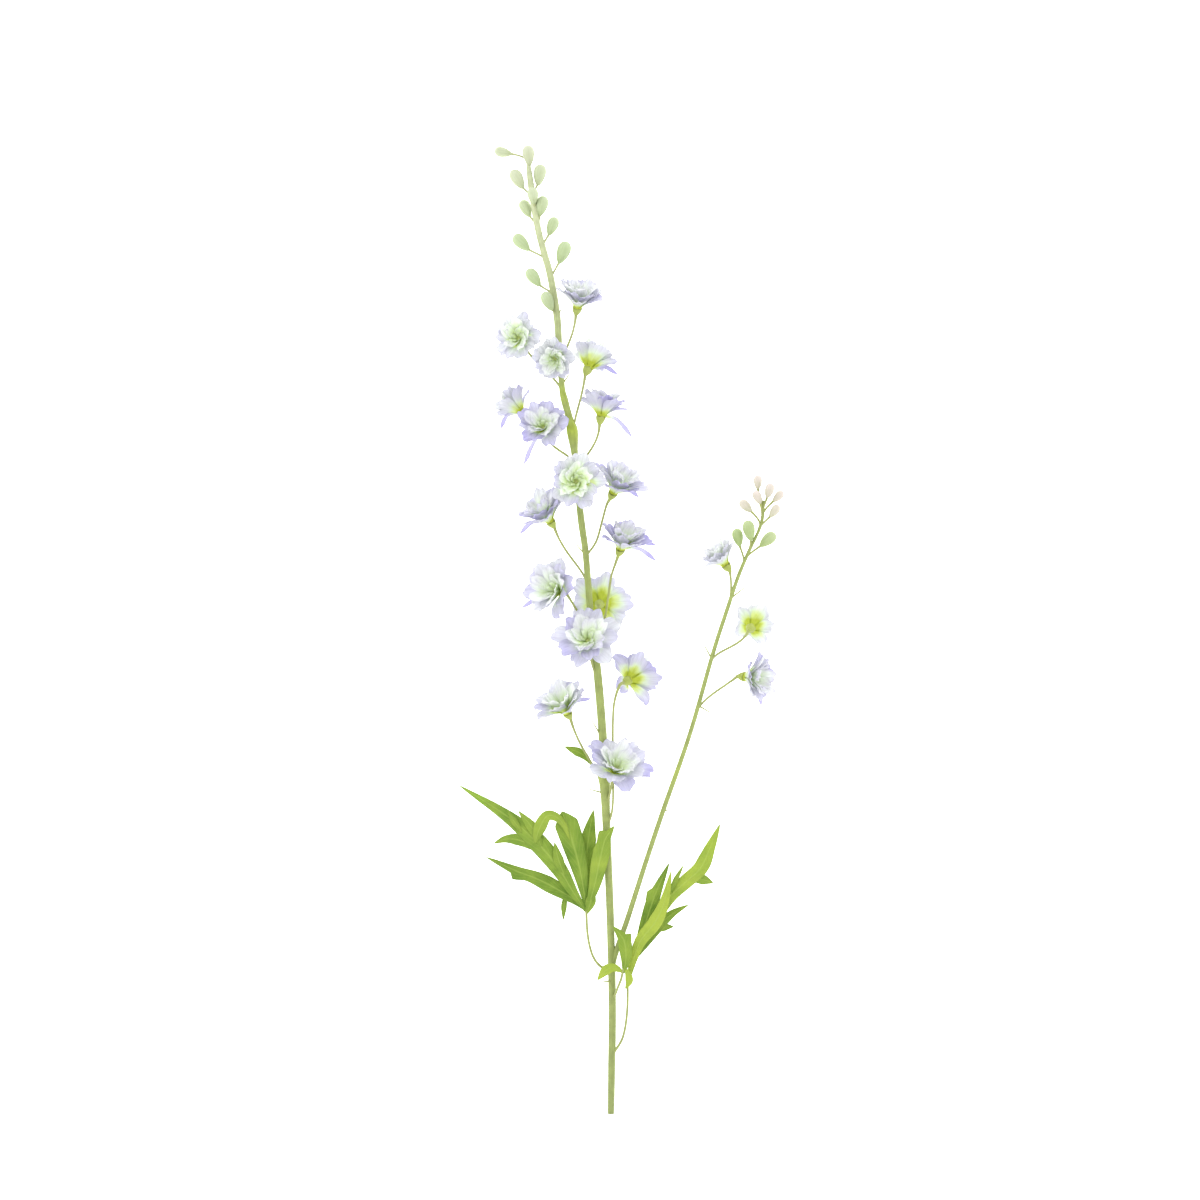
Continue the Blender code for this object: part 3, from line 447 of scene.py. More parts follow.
# %% [markdown]
# One petal is narrow at its foot and widest well past the middle, and its round end is cut into one or two
# shallow lobes. Its edge waves up and down, more towards the end. Each petal draws its own size, lobes and
# waves from a seeded random source, so no two look alike and every run gives the same bloom.
#
# Some blooms also have thin tails, petals that stayed narrow and hang out of the bloom in an arch. The table
# gives where their tips are.

# %% One petal
CUP = 0.2
WIDEST = 0.7
ROUND_END = 0.3
RUFFLE = 0.05
LOBE_DEPTH = 0.12
END_WIDTH = 0.94
BEND_SPREAD = 13.0
TURN_SPREAD = 7.0
LENGTH_SPREAD = (0.86, 1.03)
WIDTH_SPREAD = (0.85, 1.1)
LOBE_COUNTS = (0.45, 0.95)
WAVE_COUNTS = (0.8, 1.5)
TONE_SPREAD = (-0.25, 0.35)
TAIL_WIDTH = 2.4
TAIL_ARCH = 5.0
TAIL_FOOT_HEIGHT = 2.2
TAIL_FOOT_OUT = 2.6
TAIL_TONE = 0.95
TAIL_BEND = 0.45
TAIL_TWIST = 0.5
TAIL_WAVE = 0.12
TAIL_COLUMNS = 4
TAIL_TIPS = {
    "bloom_04": [(5.8, 652.5, 12)],
    "bloom_05": [(-97, 604.5, 16)],
    "bloom_06": [(-76.2, 573, 24)],
    "bloom_07": [(18.4, 597, 22)],
    "bloom_09": [(24.2, 544.5, 16)],
    "bloom_10": [(-80, 512, 20)],
    "bloom_11": [(39.4, 488.5, 17), (39.6, 502, 26)],
    "bloom_12": [(-78.2, 447, 22)],
    "bloom_16": [(-17.8, 367.5, 37)],
    "side_bloom_3": [(132.3, 361, 14)],
}


def petal_maker(whorl, bloom, turn, chance):
    """The function that says where each point of one petal goes."""
    start = radians(mix(*whorl.steep_start, bloom.openness))
    end = radians(mix(*whorl.steep_end, bloom.openness) + chance.uniform(-BEND_SPREAD, BEND_SPREAD))
    length = bloom.petal * mix(*whorl.length, bloom.openness) * chance.uniform(*LENGTH_SPREAD)
    half_width = bloom.petal * whorl.width / 2.0 * chance.uniform(*WIDTH_SPREAD)
    lobes = chance.uniform(*LOBE_COUNTS)
    lobe_shift = chance.random()
    wave_count = chance.uniform(*WAVE_COUNTS)
    wave_shift = chance.uniform(0.0, 2.0 * pi)
    turn += radians(bloom.spin + chance.uniform(-TURN_SPREAD, TURN_SPREAD))
    frame_of_petal = axis_frame(bloom.calyx, bloom.facing) @ Matrix.Rotation(turn, 4, "Z")

    def place(across, along):
        side = sin(across * pi / 2.0)
        lobe = LOBE_DEPTH * (1.0 - abs(cos(pi * (lobes * side + lobe_shift)))) ** 1.3
        share = along * (1.0 - ROUND_END * (1.0 - cos(across * pi / 2.0)) - lobe)
        steep = mix(start, end, share)
        if share < WIDEST:
            width = mix(whorl.claw, half_width, sin(share / WIDEST * pi / 2.0) ** 1.3)
        else:
            width = half_width * mix(1.0, END_WIDTH, (share - WIDEST) / (1.0 - WIDEST))
        ruffle = RUFFLE * length * share**2 * sin(2.0 * pi * wave_count * side + wave_shift)
        inward = width * (CUP * side * side + whorl.lean * side) + ruffle
        out = whorl.foot_radius + length * (cos(start) - cos(steep)) / (end - start) - inward * cos(steep)
        up = whorl.foot_height + length * (sin(steep) - sin(start)) / (end - start) + inward * sin(steep)
        point = frame_of_petal @ Vector((out, side * width, up))
        point.z = max(point.z, SHEET_CLEARANCE)
        return point

    return place


def add_whorl(shape, whorl, bloom, columns, rows, chance, slot=0):
    """A ring of petals, which take the material of this slot."""
    for index in range(whorl.count):
        turn = 2.0 * pi * index / whorl.count + radians(whorl.phase)
        tone = min(1.0, max(0.0, bloom.lilac + chance.uniform(*TONE_SPREAD)))
        verts = add_sheet(shape, columns, rows, petal_maker(whorl, bloom, turn, chance), tone)
        paint(shape, verts, "lime", bloom.lime)
        for vert in verts:
            for face in vert.link_faces:
                face.material_index = slot


def add_tail(shape, bloom, tip):
    """A thin petal that arches from the bloom's foot to its tip and turns a little on the way."""
    facing = Vector(bloom.facing).normalized()
    reach = Vector(tip) - Vector(bloom.calyx)
    outward = (reach - facing * reach.dot(facing)).normalized()
    foot = Vector(bloom.calyx) + facing * TAIL_FOOT_HEIGHT + outward * TAIL_FOOT_OUT
    middle = foot.lerp(Vector(tip), TAIL_BEND) + facing * TAIL_ARCH
    route = even_route(smooth_route([foot, middle, tip], 8), PETAL_ROWS)

    def place(across, along):
        row = round(along * PETAL_ROWS)
        run = run_at(route, row)
        side = UP.cross(run).normalized()
        side = Matrix.Rotation(TAIL_TWIST * sin(pi * along), 3, run) @ side
        width = TAIL_WIDTH * (0.45 + 0.55 * sin(pi * along**1.6)) * (1.0 - 0.6 * along**5)
        return route[row] + side * across * width * (1.0 + TAIL_WAVE * sin(9.0 * along))

    add_sheet(shape, TAIL_COLUMNS, PETAL_ROWS, place, TAIL_TONE)


# %% [markdown]
# ### The colours of a petal
# The petals are lime green where they leave the disc, then pale mint, then nearly white, and lilac washes in
# from the tip, as if brushed on wet. The inner petals are brighter, because the light falls straight on them.
# The UV map says how far along the petal a point is. A soft noise breaks the borders, and the tone says how
# lilac this petal is. Light passes through petals this thin, so part of the shader is translucent.
#
# Fine streaks run along petals, leaves and stems alike, so they are one node group with its own values in
# each material.

# %% The streaks
def streak_group():
    """Fine lines along a surface: a mask from 0 to 1 out of its UV map."""
    tree = bpy.data.node_groups.new("fine_streaks", "ShaderNodeTree")
    for name in ("Lines", "Stretch"):
        tree.interface.new_socket(name, in_out="INPUT", socket_type="NodeSocketFloat")
    tree.interface.new_socket("Mask", in_out="OUTPUT", socket_type="NodeSocketFloat")
    inside = add_node(tree, "NodeGroupInput").outputs
    surface = add_node(tree, "ShaderNodeUVMap", uv_map="surface").outputs["UV"]
    scale = add_node(tree, "ShaderNodeCombineXYZ", {"X": inside["Lines"], "Y": inside["Stretch"]})
    stretched = add_node(
        tree, "ShaderNodeVectorMath", {0: surface, 1: scale.outputs["Vector"]}, operation="MULTIPLY"
    )
    lines = {"Vector": stretched.outputs["Vector"], "Scale": 1.0, "Detail": 2.0, "Roughness": 0.6}
    mask = add_node(tree, "ShaderNodeTexNoise", lines).outputs["Fac"]
    add_node(tree, "NodeGroupOutput", {"Mask": mask})
    return tree


STREAKS = streak_group()


def add_streaks(tree, lines, stretch):
    """The group's mask in a material, with its own values."""
    values = {"Lines": lines, "Stretch": stretch}
    return add_node(tree, "ShaderNodeGroup", values, node_tree=STREAKS).outputs["Mask"]


# %% [markdown]
# The other helpers below are small too. Each puts in one node, or a few that belong together, and gives back
# the socket that comes out, so a material reads like a sum.


# %% Colours, sums and masks
def colour_ramp(tree, share, stops):
    """The colour at this share of a ramp through the stops, each a place from 0 to 1 and a colour."""
    ramp = add_node(tree, "ShaderNodeValToRGB", {"Fac": share})
    elements = ramp.color_ramp.elements
    while len(elements) < len(stops):
        elements.new(0.5)
    for element, (position, colour) in zip(elements, stops):
        element.position = position
        element.color = (*colour, 1.0)
    return ramp.outputs["Color"]


def math_node(tree, operation, first, second=0.0):
    """One sum. Each side is a value or a socket."""
    return add_node(tree, "ShaderNodeMath", {0: first, 1: second}, operation=operation).outputs["Value"]


def mix_colours(tree, share, first, second, kind="MIX"):
    """The second colour over the first one by this share."""
    colours = {0: share, 6: first, 7: second}
    return add_node(tree, "ShaderNodeMix", colours, data_type="RGBA", blend_type=kind).outputs[2]


def shade_by(tree, colour, mask, reach, darkest, brightest):
    """The colour made darker and brighter by a mask, whose values lie within this reach of a half."""
    shade = map_range(tree, mask, 0.5 - reach, 0.5 + reach, darkest, brightest)
    return mix_colours(tree, 1.0, colour, shade, "MULTIPLY")


def object_noise(tree, scale, detail):
    """A soft noise that stays on the object, from 0 to 1."""
    place = add_node(tree, "ShaderNodeTexCoord").outputs["Object"]
    inputs = {"Vector": place, "Scale": scale, "Detail": detail}
    return add_node(tree, "ShaderNodeTexNoise", inputs).outputs["Fac"]


def drift_by(tree, noise, size):
    """How far a noise shifts a value, to either side of 0."""
    return math_node(tree, "MULTIPLY", math_node(tree, "SUBTRACT", noise, 0.5), size)


def painted(tree, layer):
    """A value that was painted on the points."""
    return add_node(tree, "ShaderNodeAttribute", attribute_name=layer).outputs["Fac"]


def surface_axes(tree):
    """How far across and along the sheet a point is, as X and Y."""
    surface = add_node(tree, "ShaderNodeUVMap", uv_map="surface").outputs["UV"]
    return add_node(tree, "ShaderNodeSeparateXYZ", {"Vector": surface}).outputs


def add_bump(tree, shader, height, strength, distance):
    """A bump from this height that feeds the shader's normal."""
    bump = add_node(tree, "ShaderNodeBump", {"Height": height, "Strength": strength, "Distance": distance})
    tree.links.new(bump.outputs["Normal"], shader.inputs["Normal"])


def let_light_through(tree, shader, colour, share):
    """Mixes a translucent shader of the same colour into the surface."""
    glow = add_node(tree, "ShaderNodeBsdfTranslucent", {"Color": colour}).outputs["BSDF"]
    blend = add_node(tree, "ShaderNodeMixShader", {"Fac": share, 1: shader.outputs["BSDF"], 2: glow})
    tree.links.new(blend.outputs["Shader"], tree.nodes["Material Output"].inputs["Surface"])


# %% The petal material
LIME = (0.62, 0.70, 0.08)
YOUNG_LIME = (0.78, 0.86, 0.36)
HEART_GLOW = (0.82, 0.93, 0.56)
BRIGHT_MINT = (0.89, 0.95, 0.84)
BRIGHT_PALE = (0.88, 0.885, 0.90)
MINT = (0.81, 0.88, 0.77)
PALE = (0.775, 0.785, 0.805)
PALE_LILAC = (0.71, 0.70, 0.805)
LILAC = (0.545, 0.515, 0.76)
USUAL_LIME = 0.2
CLOUD_SCALE = 90.0
CLOUD_DRIFT = 0.5
WASH_SCALE = 45.0


def petal_material(name, stops_pale, stops_lilac):
    """Two ways to fade along the petal, mixed by its tone, with cloudy borders and fine streaks."""
    material, tree, shader = new_material(name, roughness=0.62, gloss=0.25)
    drift = drift_by(tree, object_noise(tree, CLOUD_SCALE, detail=2.0), CLOUD_DRIFT)
    more_lime = math_node(tree, "SUBTRACT", painted(tree, "lime"), USUAL_LIME)
    past_lime = math_node(tree, "SUBTRACT", surface_axes(tree)["Y"], more_lime)
    reach = math_node(tree, "ADD", past_lime, drift)
    pale = colour_ramp(tree, reach, stops_pale)
    lilac = colour_ramp(tree, reach, stops_lilac)
    wash = math_node(tree, "SUBTRACT", object_noise(tree, WASH_SCALE, detail=1.0), 0.5)
    share = math_node(tree, "ADD", painted(tree, "tone"), wash)
    streaks = add_streaks(tree, lines=26.0, stretch=1.6)
    colour = shade_by(tree, mix_colours(tree, share, pale, lilac), streaks, 0.2, darkest=0.9, brightest=1.04)
    feed(tree, shader.inputs["Base Color"], colour)
    add_bump(tree, shader, streaks, strength=0.35, distance=0.0004)
    let_light_through(tree, shader, colour, 0.5)
    return material


HEART_STOPS = [(0.0, YOUNG_LIME), (0.35, HEART_GLOW), (1.0, BRIGHT_MINT)]

PETAL = petal_material(
    "petal",
    [(0.08, LIME), (0.22, YOUNG_LIME), (0.4, MINT), (0.6, PALE), (1.0, PALE)],
    [(0.08, LIME), (0.2, YOUNG_LIME), (0.34, MINT), (0.5, PALE_LILAC), (0.95, LILAC)],
)
INNER_PETAL = petal_material(
    "inner_petal",
    [(0.0, YOUNG_LIME), (0.3, HEART_GLOW), (0.62, BRIGHT_MINT), (1.0, BRIGHT_PALE)],
    [(0.0, YOUNG_LIME), (0.3, HEART_GLOW), (0.55, BRIGHT_MINT), (0.75, BRIGHT_PALE), (1.0, PALE_LILAC)],
)
HEART = petal_material("heart", HEART_STOPS, HEART_STOPS)
print(len(bpy.data.materials), "materials so far")

# %% [markdown]
# The whorls of one bloom share one mesh, on the small disc that carries them. The heart is a mesh of its own.
# The sheets get their thickness from a modifier, which also closes them.

# %% All the blooms
PETAL_THICKNESS = 0.3
DISC_RADIUS = 4.0
DISC_HEIGHT = 4.2
HEART_FOOT = 4.4
HEART_TOP = 6.5
HEART_RADIUS = 2.0
DISC_ROWS = 6
DISC_LIME = 1.2


def add_disc(shape, bloom, low, high, radius):
    """A small rounded disc on the bloom's axis, between these heights, as a closed roll."""
    axis = axis_frame(bloom.calyx, bloom.facing)
    points = [axis @ (UP * mix(low, high, row / DISC_ROWS)) for row in range(DISC_ROWS + 1)]

    def radius_at(angle, along):
        return radius * (1.0 - abs(2.0 * along - 1.0) ** 4)

    paint(shape, add_roll(shape, points, radius_at, 16), "lime", DISC_LIME)


for number, bloom in enumerate(BLOOMS):
    chance = Random(100 + number)
    shape = new_shape()
    for row, whorl in enumerate(PETAL_WHORLS):
        add_whorl(shape, whorl, bloom, PETAL_COLUMNS, PETAL_ROWS, chance, row // 2)
    for tip in TAIL_TIPS.get(bloom.name, []):
        add_tail(shape, bloom, tip)
    add_disc(shape, bloom, 0.2, DISC_HEIGHT, DISC_RADIUS)
    skins = [PETAL, INNER_PETAL]
    finish_piece(bloom.name + "_petals", shape, skins, [bloom.name], PETAL_THICKNESS)
    shape = new_shape()
    for whorl in HEART_WHORLS:
        add_whorl(shape, whorl, bloom, HEART_COLUMNS, HEART_ROWS, chance)
    add_disc(shape, bloom, HEART_FOOT, HEART_TOP, HEART_RADIUS)
    heart_node = bloom.name + "_heart"
    finish_piece(bloom.name + "_rosette", shape, [HEART], [heart_node], PETAL_THICKNESS)

# %% [markdown]
# ## Stems
# The main stem is a ribbed green rod, thicker where a leaf sheath grips it, at the lowest bloom and again
# among the upper ones, and thin at the tip. The side branch leaves it low down. Both follow the routes of
# the solids: the place of the middle line and its radius.

# %% The routes of the stems
STEM_ROUTE = [
    (0, 0, 2.9, 2.9), (0.6, 40, 4, 3.2), (1.2, 98, 6, 3.3), (-0.9, 182, 12, 3.3), (-4.2, 261, 19, 3.6),
    (-5.4, 290, 21, 4.6), (-6.2, 303, 22, 6.4), (-7, 315, 23, 4.4), (-7.4, 336, 24, 3.7),
    (-11.7, 388, 26, 3.6), (-18, 442, 27, 3), (-22, 493, 28, 2.8), (-26.3, 525, 28.5, 3),
    (-30.7, 568, 29, 2.6), (-32.2, 585, 29.2, 3.2), (-34, 602, 29.5, 5), (-36.2, 612, 29.6, 3.2),
    (-41, 630, 29.9, 3.2), (-43, 641, 30, 2.6), (-45.6, 677, 30.5, 2.9), (-47.3, 702, 31, 3.1),
    (-53, 737, 32, 3), (-58.7, 758, 33, 2.9), (-64.2, 780, 34, 2.8), (-69.8, 815, 34.5, 2.8),
    (-72.6, 838, 35, 1.8),
]
BRANCH_ROUTE = [
    (1, 125, 8, 2), (3.8, 141, 10, 2.4), (14.6, 173, 13, 2.4), (31.9, 227, 16, 2.2), (46, 269, 18, 2.2),
    (69.6, 337, 20, 2), (89.6, 407, 22, 1.9), (102.8, 448, 22.5, 1.8), (111.5, 474, 23, 1.7),
    (120.3, 495, 23.5, 1.5), (132, 521, 24, 1.3), (134, 541, 24, 1.1),
]

# %% [markdown]
# ### The green of the stems
# The foot is olive green and the tip is pale: along the spike the green fades with the height on the stem.
# The thin stalks are yellower, and the sheaths and cups greener: the tone brings in the one and the lime the
# other. A matt skin with fine lines along it, and a soft mottling, keep it from looking like plastic.

# %% The stem material
STEM_OLIVE = (0.22, 0.26, 0.09)
STEM_GREEN = (0.27, 0.32, 0.10)
STEM_TIP = (0.46, 0.50, 0.31)
STALK_LIME = (0.30, 0.33, 0.12)
STALK_PALE = (0.40, 0.43, 0.23)
SHEATH_LIME = (0.31, 0.38, 0.05)
SHEATHS = [(303.0, 0.4), (603.0, 1.0), (634.0, 0.8)]
SHEATH_REACH = 16.0


def height_on_stem(tree):
    """How far up the spike a point is, from 0 at the cut foot to 1 at the tip."""
    place = add_node(tree, "ShaderNodeTexCoord").outputs["Object"]
    along = add_node(tree, "ShaderNodeSeparateXYZ", {"Vector": place}).outputs["Y"]
    return map_range(tree, along, ORIGIN.y, ORIGIN.y + SPIKE_LENGTH * MM, 0.0, 1.0)


def stem_material():
    material, tree, shader = new_material("stem", roughness=0.55, gloss=0.25)
    height = height_on_stem(tree)
    skin = colour_ramp(
        tree, height, [(0.0, STEM_OLIVE), (0.3, STEM_GREEN), (0.72, STEM_GREEN), (0.95, STEM_TIP)]
    )
    stalk = colour_ramp(tree, height, [(0.2, STALK_LIME), (0.7, STALK_LIME), (1.0, STALK_PALE)])
    plain = mix_colours(tree, painted(tree, "tone"), skin, stalk)
    green = mix_colours(tree, painted(tree, "lime"), plain, SHEATH_LIME)
    mottled = shade_by(tree, green, object_noise(tree, 160.0, detail=3.0), 0.2, darkest=0.86, brightest=1.12)
    streaks = add_streaks(tree, lines=34.0, stretch=9.0)
    coat = shade_by(tree, mottled, streaks, 0.15, darkest=0.9, brightest=1.06)
    feed(tree, shader.inputs["Base Color"], coat)
    add_bump(tree, shader, streaks, strength=0.4, distance=0.0003)
    return material


STEM = stem_material()


def cut_material():
    """The moist pale cut at the foot, with the darker dots of its fibres."""
    material, tree, shader = new_material("cut_end", roughness=0.4)
    place = add_node(tree, "ShaderNodeTexCoord").outputs["Object"]
    dots = add_node(tree, "ShaderNodeTexVoronoi", {"Vector": place, "Scale": 1400.0}).outputs["Distance"]
    fibres = colour_ramp(tree, dots, [(0.15, (0.33, 0.40, 0.16)), (0.5, (0.62, 0.68, 0.42))])
    feed(tree, shader.inputs["Base Color"], fibres)
    return material


CUT = cut_material()

# %% [markdown]
# The ribs are shallow waves in the radius round the stem. Stalks grow out of the stem with a swollen foot,
# and swell again under the calyx. The calyx is a small cup with five rounded points that clasps the bloom.
# Most stalks curve freely from stem to cup, and three long ones are led round their neighbours by points
# between.

# %% Stalks and calyx cups
PEDICEL_RADIUS = 1.05
PEDICEL_SWELL = 0.5
PEDICEL_RIB = 0.04
PEDICEL_PULLS = (0.3, 0.45)
CALYX_LENGTH = 7.0
CALYX_RADIUS = 3.6
CALYX_LIP = 0.9
CALYX_POINT = 1.5
CALYX_NOTCH = 0.06
CALYX_LIME = 0.55
SEAT_GAP = 0.3
RIB_DEPTH = 0.045
RIB_COLUMNS = 4
STEM_ROWS = 260
PEDICEL_ROWS = 36
PEDICEL_VIAS = {
    "bloom_09": [(-13, 505, 26), (-8, 522, 23)],
    "bloom_11": [(-5.5, 438, 32.5), (-2.6, 455, 31.5), (0.2, 474, 29.5)],
    "bloom_15": [(1.2, 270, 23), (2, 300, 26.5), (1.6, 335, 27.5), (2.6, 362, 30)],
}


def add_stem(shape, route, ribs):
    """The ribbed rod along a route."""
    points = even_route(smooth_route(route, 8), STEM_ROWS)

    def radius_at(angle, along):
        return points[round(along * STEM_ROWS)][3] * (1.0 + RIB_DEPTH * cos(ribs * angle))

    verts = add_roll(shape, points, radius_at, ribs * RIB_COLUMNS, 0.0)
    lime = shape.verts.layers.float["lime"]
    for vert in verts:
        for height, share in SHEATHS:
            vert[lime] = max(vert[lime], share * (1.0 - abs(vert.co.y - height) / SHEATH_REACH))


def add_pedicel(shape, bloom, route):
    """The stalk of a bloom, from inside the stem to inside the foot of its calyx."""
    start, along = route_point_at_y(route, bloom.joint)
    facing = Vector(bloom.facing).normalized()
    end = Vector(bloom.calyx) - facing * (CALYX_LENGTH - 1.0)
    vias = [Vector(via) for via in PEDICEL_VIAS.get(bloom.name, [])]
    if vias:
        points = smooth_route([start] + vias + [end - facing * CALYX_LENGTH, end], 10)
    else:
        reach = (end - start).length
        start_pull = start + along * reach * PEDICEL_PULLS[0]
        end_pull = end - (facing + along).normalized() * reach * PEDICEL_PULLS[1]
        points = bezier(start, start_pull, end_pull, end, 30)
    points = even_route(points, PEDICEL_ROWS)

    def radius_at(angle, share):
        swell = max(0.0, 1.0 - share / 0.12, (share - 0.8) / 0.2)
        return PEDICEL_RADIUS * (1.0 + PEDICEL_SWELL * swell**1.5) * (1.0 + PEDICEL_RIB * cos(4.0 * angle))

    add_roll(shape, points, radius_at, 12, 1.0)


def add_calyx(shape, bloom):
    """A cup of five rounded points, as a roll that flares and ends in a waved rim."""
    facing = Vector(bloom.facing).normalized()
    base = axis_frame(Vector(bloom.calyx) - facing * (CALYX_LENGTH + SEAT_GAP), bloom.facing)

    def place(across, along):
        angle = across * pi + radians(bloom.spin)
        point_wave = 0.5 + 0.5 * cos(5.0 * angle)
        flare = sin(min(1.0, along * 1.25) * pi / 2.0) ** 1.6
        radius = mix(PEDICEL_RADIUS * 1.2, CALYX_RADIUS + CALYX_LIP * along**3, flare)
        radius *= 1.0 - CALYX_NOTCH * (1.0 - point_wave) * along
        height = CALYX_LENGTH * along + CALYX_POINT * point_wave * along**4
        return base @ Vector((cos(angle) * radius, sin(angle) * radius, height))

    verts = add_sheet(shape, 30, 12, place, 1.0)
    paint(shape, verts, "lime", CALYX_LIME)
    bmesh.ops.remove_doubles(shape, verts=verts, dist=WELD)


# %% [markdown]
# ### Buds and bracts
# Towards its tips the spike ends in closed buds. A bud is a teardrop of folded sepals: a roll whose radius
# swells and closes, with five shallow seams. The bracts are narrow green scales at the foot of some stalks,
# flattened rolls that taper to a point.

# %% Buds
BUD_RADIUS = 5.7
BUD_LENGTH = 16.5
BUD_STALK_RADIUS = 0.9
BUD_STALK_PULL = 0.35
BUD_STALK_SWELL = 0.5
BUD_SEAT = 0.3
BUD_ROWS = 18
SEAM_DEPTH = 0.09
Bud = namedtuple("Bud", "centre tip size joint tone")

MAIN_BUDS = [
    Bud((-94.1, 845, 36), (-1, 0.2, 0.1), 0.95, 835, 0.75),
    Bud((-72, 842, 37), (-0.1, 1, 0.1), 1.1, 828, 0.9),
    Bud((-81.5, 821, 38.5), (-0.5, 0.85, 0.2), 1.15, 803, 0.8),
    Bud((-62.5, 825, 36), (0.15, 0.98, 0.1), 1.15, 806, 0.7),
    Bud((-74.5, 796.5, 29), (-0.4, 0.85, -0.3), 1.05, 778, 0.55),
    Bud((-60.5, 798, 35), (0.2, 0.95, 0.1), 1.1, 774, 0.5),
    Bud((-68, 806, 42), (-0.1, 0.8, 0.6), 1, 784, 0.65),
    Bud((-51.5, 780.5, 33), (0.35, 0.9, 0), 1.05, 760, 0.4),
    Bud((-78, 766, 35), (-0.7, 0.7, 0.1), 1.15, 749, 0.35),
    Bud((-42, 757.5, 34), (0.35, 0.93, 0.1), 1.25, 731, 0.3),
    Bud((-67.5, 735.5, 35), (-0.6, 0.8, 0.1), 1.12, 718, 0.35),
    Bud((-55, 714.5, 38), (-0.4, 0.85, 0.3), 1.1, 700, 0.45),
]
BRANCH_BUDS = [
    Bud((128.8, 557, 24), (0, 1, 0), 0.8, 534, 1),
    Bud((128.5, 543.5, 29), (-0.4, 0.9, 0.3), 0.8, 523, 1),
    Bud((138.5, 549.5, 28.5), (0.25, 0.9, 0.2), 0.85, 530, 1),
    Bud((146.5, 544.5, 24), (0.7, 0.7, 0), 0.78, 526, 1),
    Bud((118.5, 536, 23), (-0.7, 0.7, 0), 0.88, 517, 0.9),
    Bud((143, 531.5, 27), (0.6, 0.8, 0.2), 0.82, 516, 0.9),
    Bud((121, 514.5, 28), (-0.2, 0.95, 0.2), 1.12, 492, 0.15),
    Bud((111.5, 508.5, 21), (-0.2, 0.97, -0.1), 1, 484, 0.1),
    Bud((137.5, 506.5, 22), (0.75, 0.65, 0), 1.08, 488, 0.2),
]


def add_bud(shape, bud):
    """A teardrop with five seams, narrower towards its foot and rounded at both ends."""
    length = BUD_LENGTH * bud.size
    axis = axis_frame(bud.centre, bud.tip)
    heights = [-cos(row / BUD_ROWS * pi) for row in range(BUD_ROWS + 1)]
    points = [axis @ (UP * (height * length / 2.0)) for height in heights]

    def radius_at(angle, along):
        height = heights[round(along * BUD_ROWS)]
        round_part = max(0.0, 1.0 - height * height) ** 0.5
        seam = 1.0 - SEAM_DEPTH * abs(cos(2.5 * angle)) ** 6 * round_part
        return BUD_RADIUS * bud.size * (0.82 + 0.26 * height) * round_part * seam

    add_roll(shape, points, radius_at, 20, bud.tone)


def add_bud_stalk(shape, bud, route):
    """The bud's stalk, from inside the stem to inside the bud's foot."""
    start, along = route_point_at_y(route, bud.joint)
    tip = Vector(bud.tip).normalized()
    end = Vector(bud.centre) - tip * (BUD_LENGTH * bud.size * BUD_SEAT)
    pull = (end - start).length * BUD_STALK_PULL
    points = bezier(start, start + along * pull, end - tip * pull, end, 16)

    def radius_at(angle, share):
        swell = max(0.0, 1.0 - share / 0.15, (share - 0.7) / 0.3)
        return BUD_STALK_RADIUS * (1.0 + BUD_STALK_SWELL * swell)

    add_roll(shape, points, radius_at, 10, 1.0)


# %% Bracts
BRACT_WIDTH = 0.95
MAIN_BRACTS = [
    ((-5.5, 284, 21), (-24.5, 289.5, 24)),
    ((-9.5, 336, 25), (-19, 352, 30)),
    ((0.5, 118, 9), (-14, 117, 13)),
    ((-16, 415, 27), (-5, 432, 31)),
    ((-23, 494, 28), (-33.5, 506, 31)),
    ((-31.5, 570, 29), (-40, 583, 25)),
    ((-43, 642, 30.5), (-34, 655, 27)),
    ((-48, 700, 31), (-41, 712, 33.5)),
]
BRANCH_BRACTS = [
    ((88.5, 402, 22), (79.5, 418.5, 24)),
    ((77, 361, 20.5), (91.5, 352.5, 18)),
    ((106, 456, 22.5), (121, 467.5, 24)),
    ((46, 268, 18), (52.5, 270, 19)),
]


def add_bract(shape, root, tip):
    """A slim scale: a flattened roll that tapers from its root to its tip."""
    root = Vector(root)
    tip = Vector(tip)
    middle = root.lerp(tip, 0.5) + UP
    points = even_route(smooth_route([root, middle, tip], 8), 16)

    def radius_at(angle, share):
        return BRACT_WIDTH * (1.0 - share) ** 0.7 * (0.45 + 0.55 * abs(cos(angle)))

    add_roll(shape, points, radius_at, 10, 1.0)


# %% [markdown]
# The young buds are green, and they grow paler towards the tips of the spike. On the side branch the last
# ones are already a pale pink. The tone goes from the one to the other, each with a colour for the foot of
# the bud and one for its tip.


# %% The bud material
def bud_material(name, early, late):
    """From the early pair of colours to the late one by the tone, and from foot to tip along the bud."""
    material, tree, shader = new_material(name, roughness=0.6, gloss=0.25)
    tone = painted(tree, "tone")
    foot_green = mix_colours(tree, tone, early[0], late[0])
    tip_green = mix_colours(tree, tone, early[1], late[1])
    drift = drift_by(tree, object_noise(tree, 220.0, detail=2.0), 0.8)
    share = math_node(tree, "ADD", surface_axes(tree)["Y"], drift)
    streaks = add_streaks(tree, lines=24.0, stretch=1.2)
    green = mix_colours(tree, share, foot_green, tip_green)
    coat = shade_by(tree, green, streaks, 0.2, darkest=0.9, brightest=1.05)
    feed(tree, shader.inputs["Base Color"], coat)
    add_bump(tree, shader, streaks, strength=0.3, distance=0.0003)
    return material


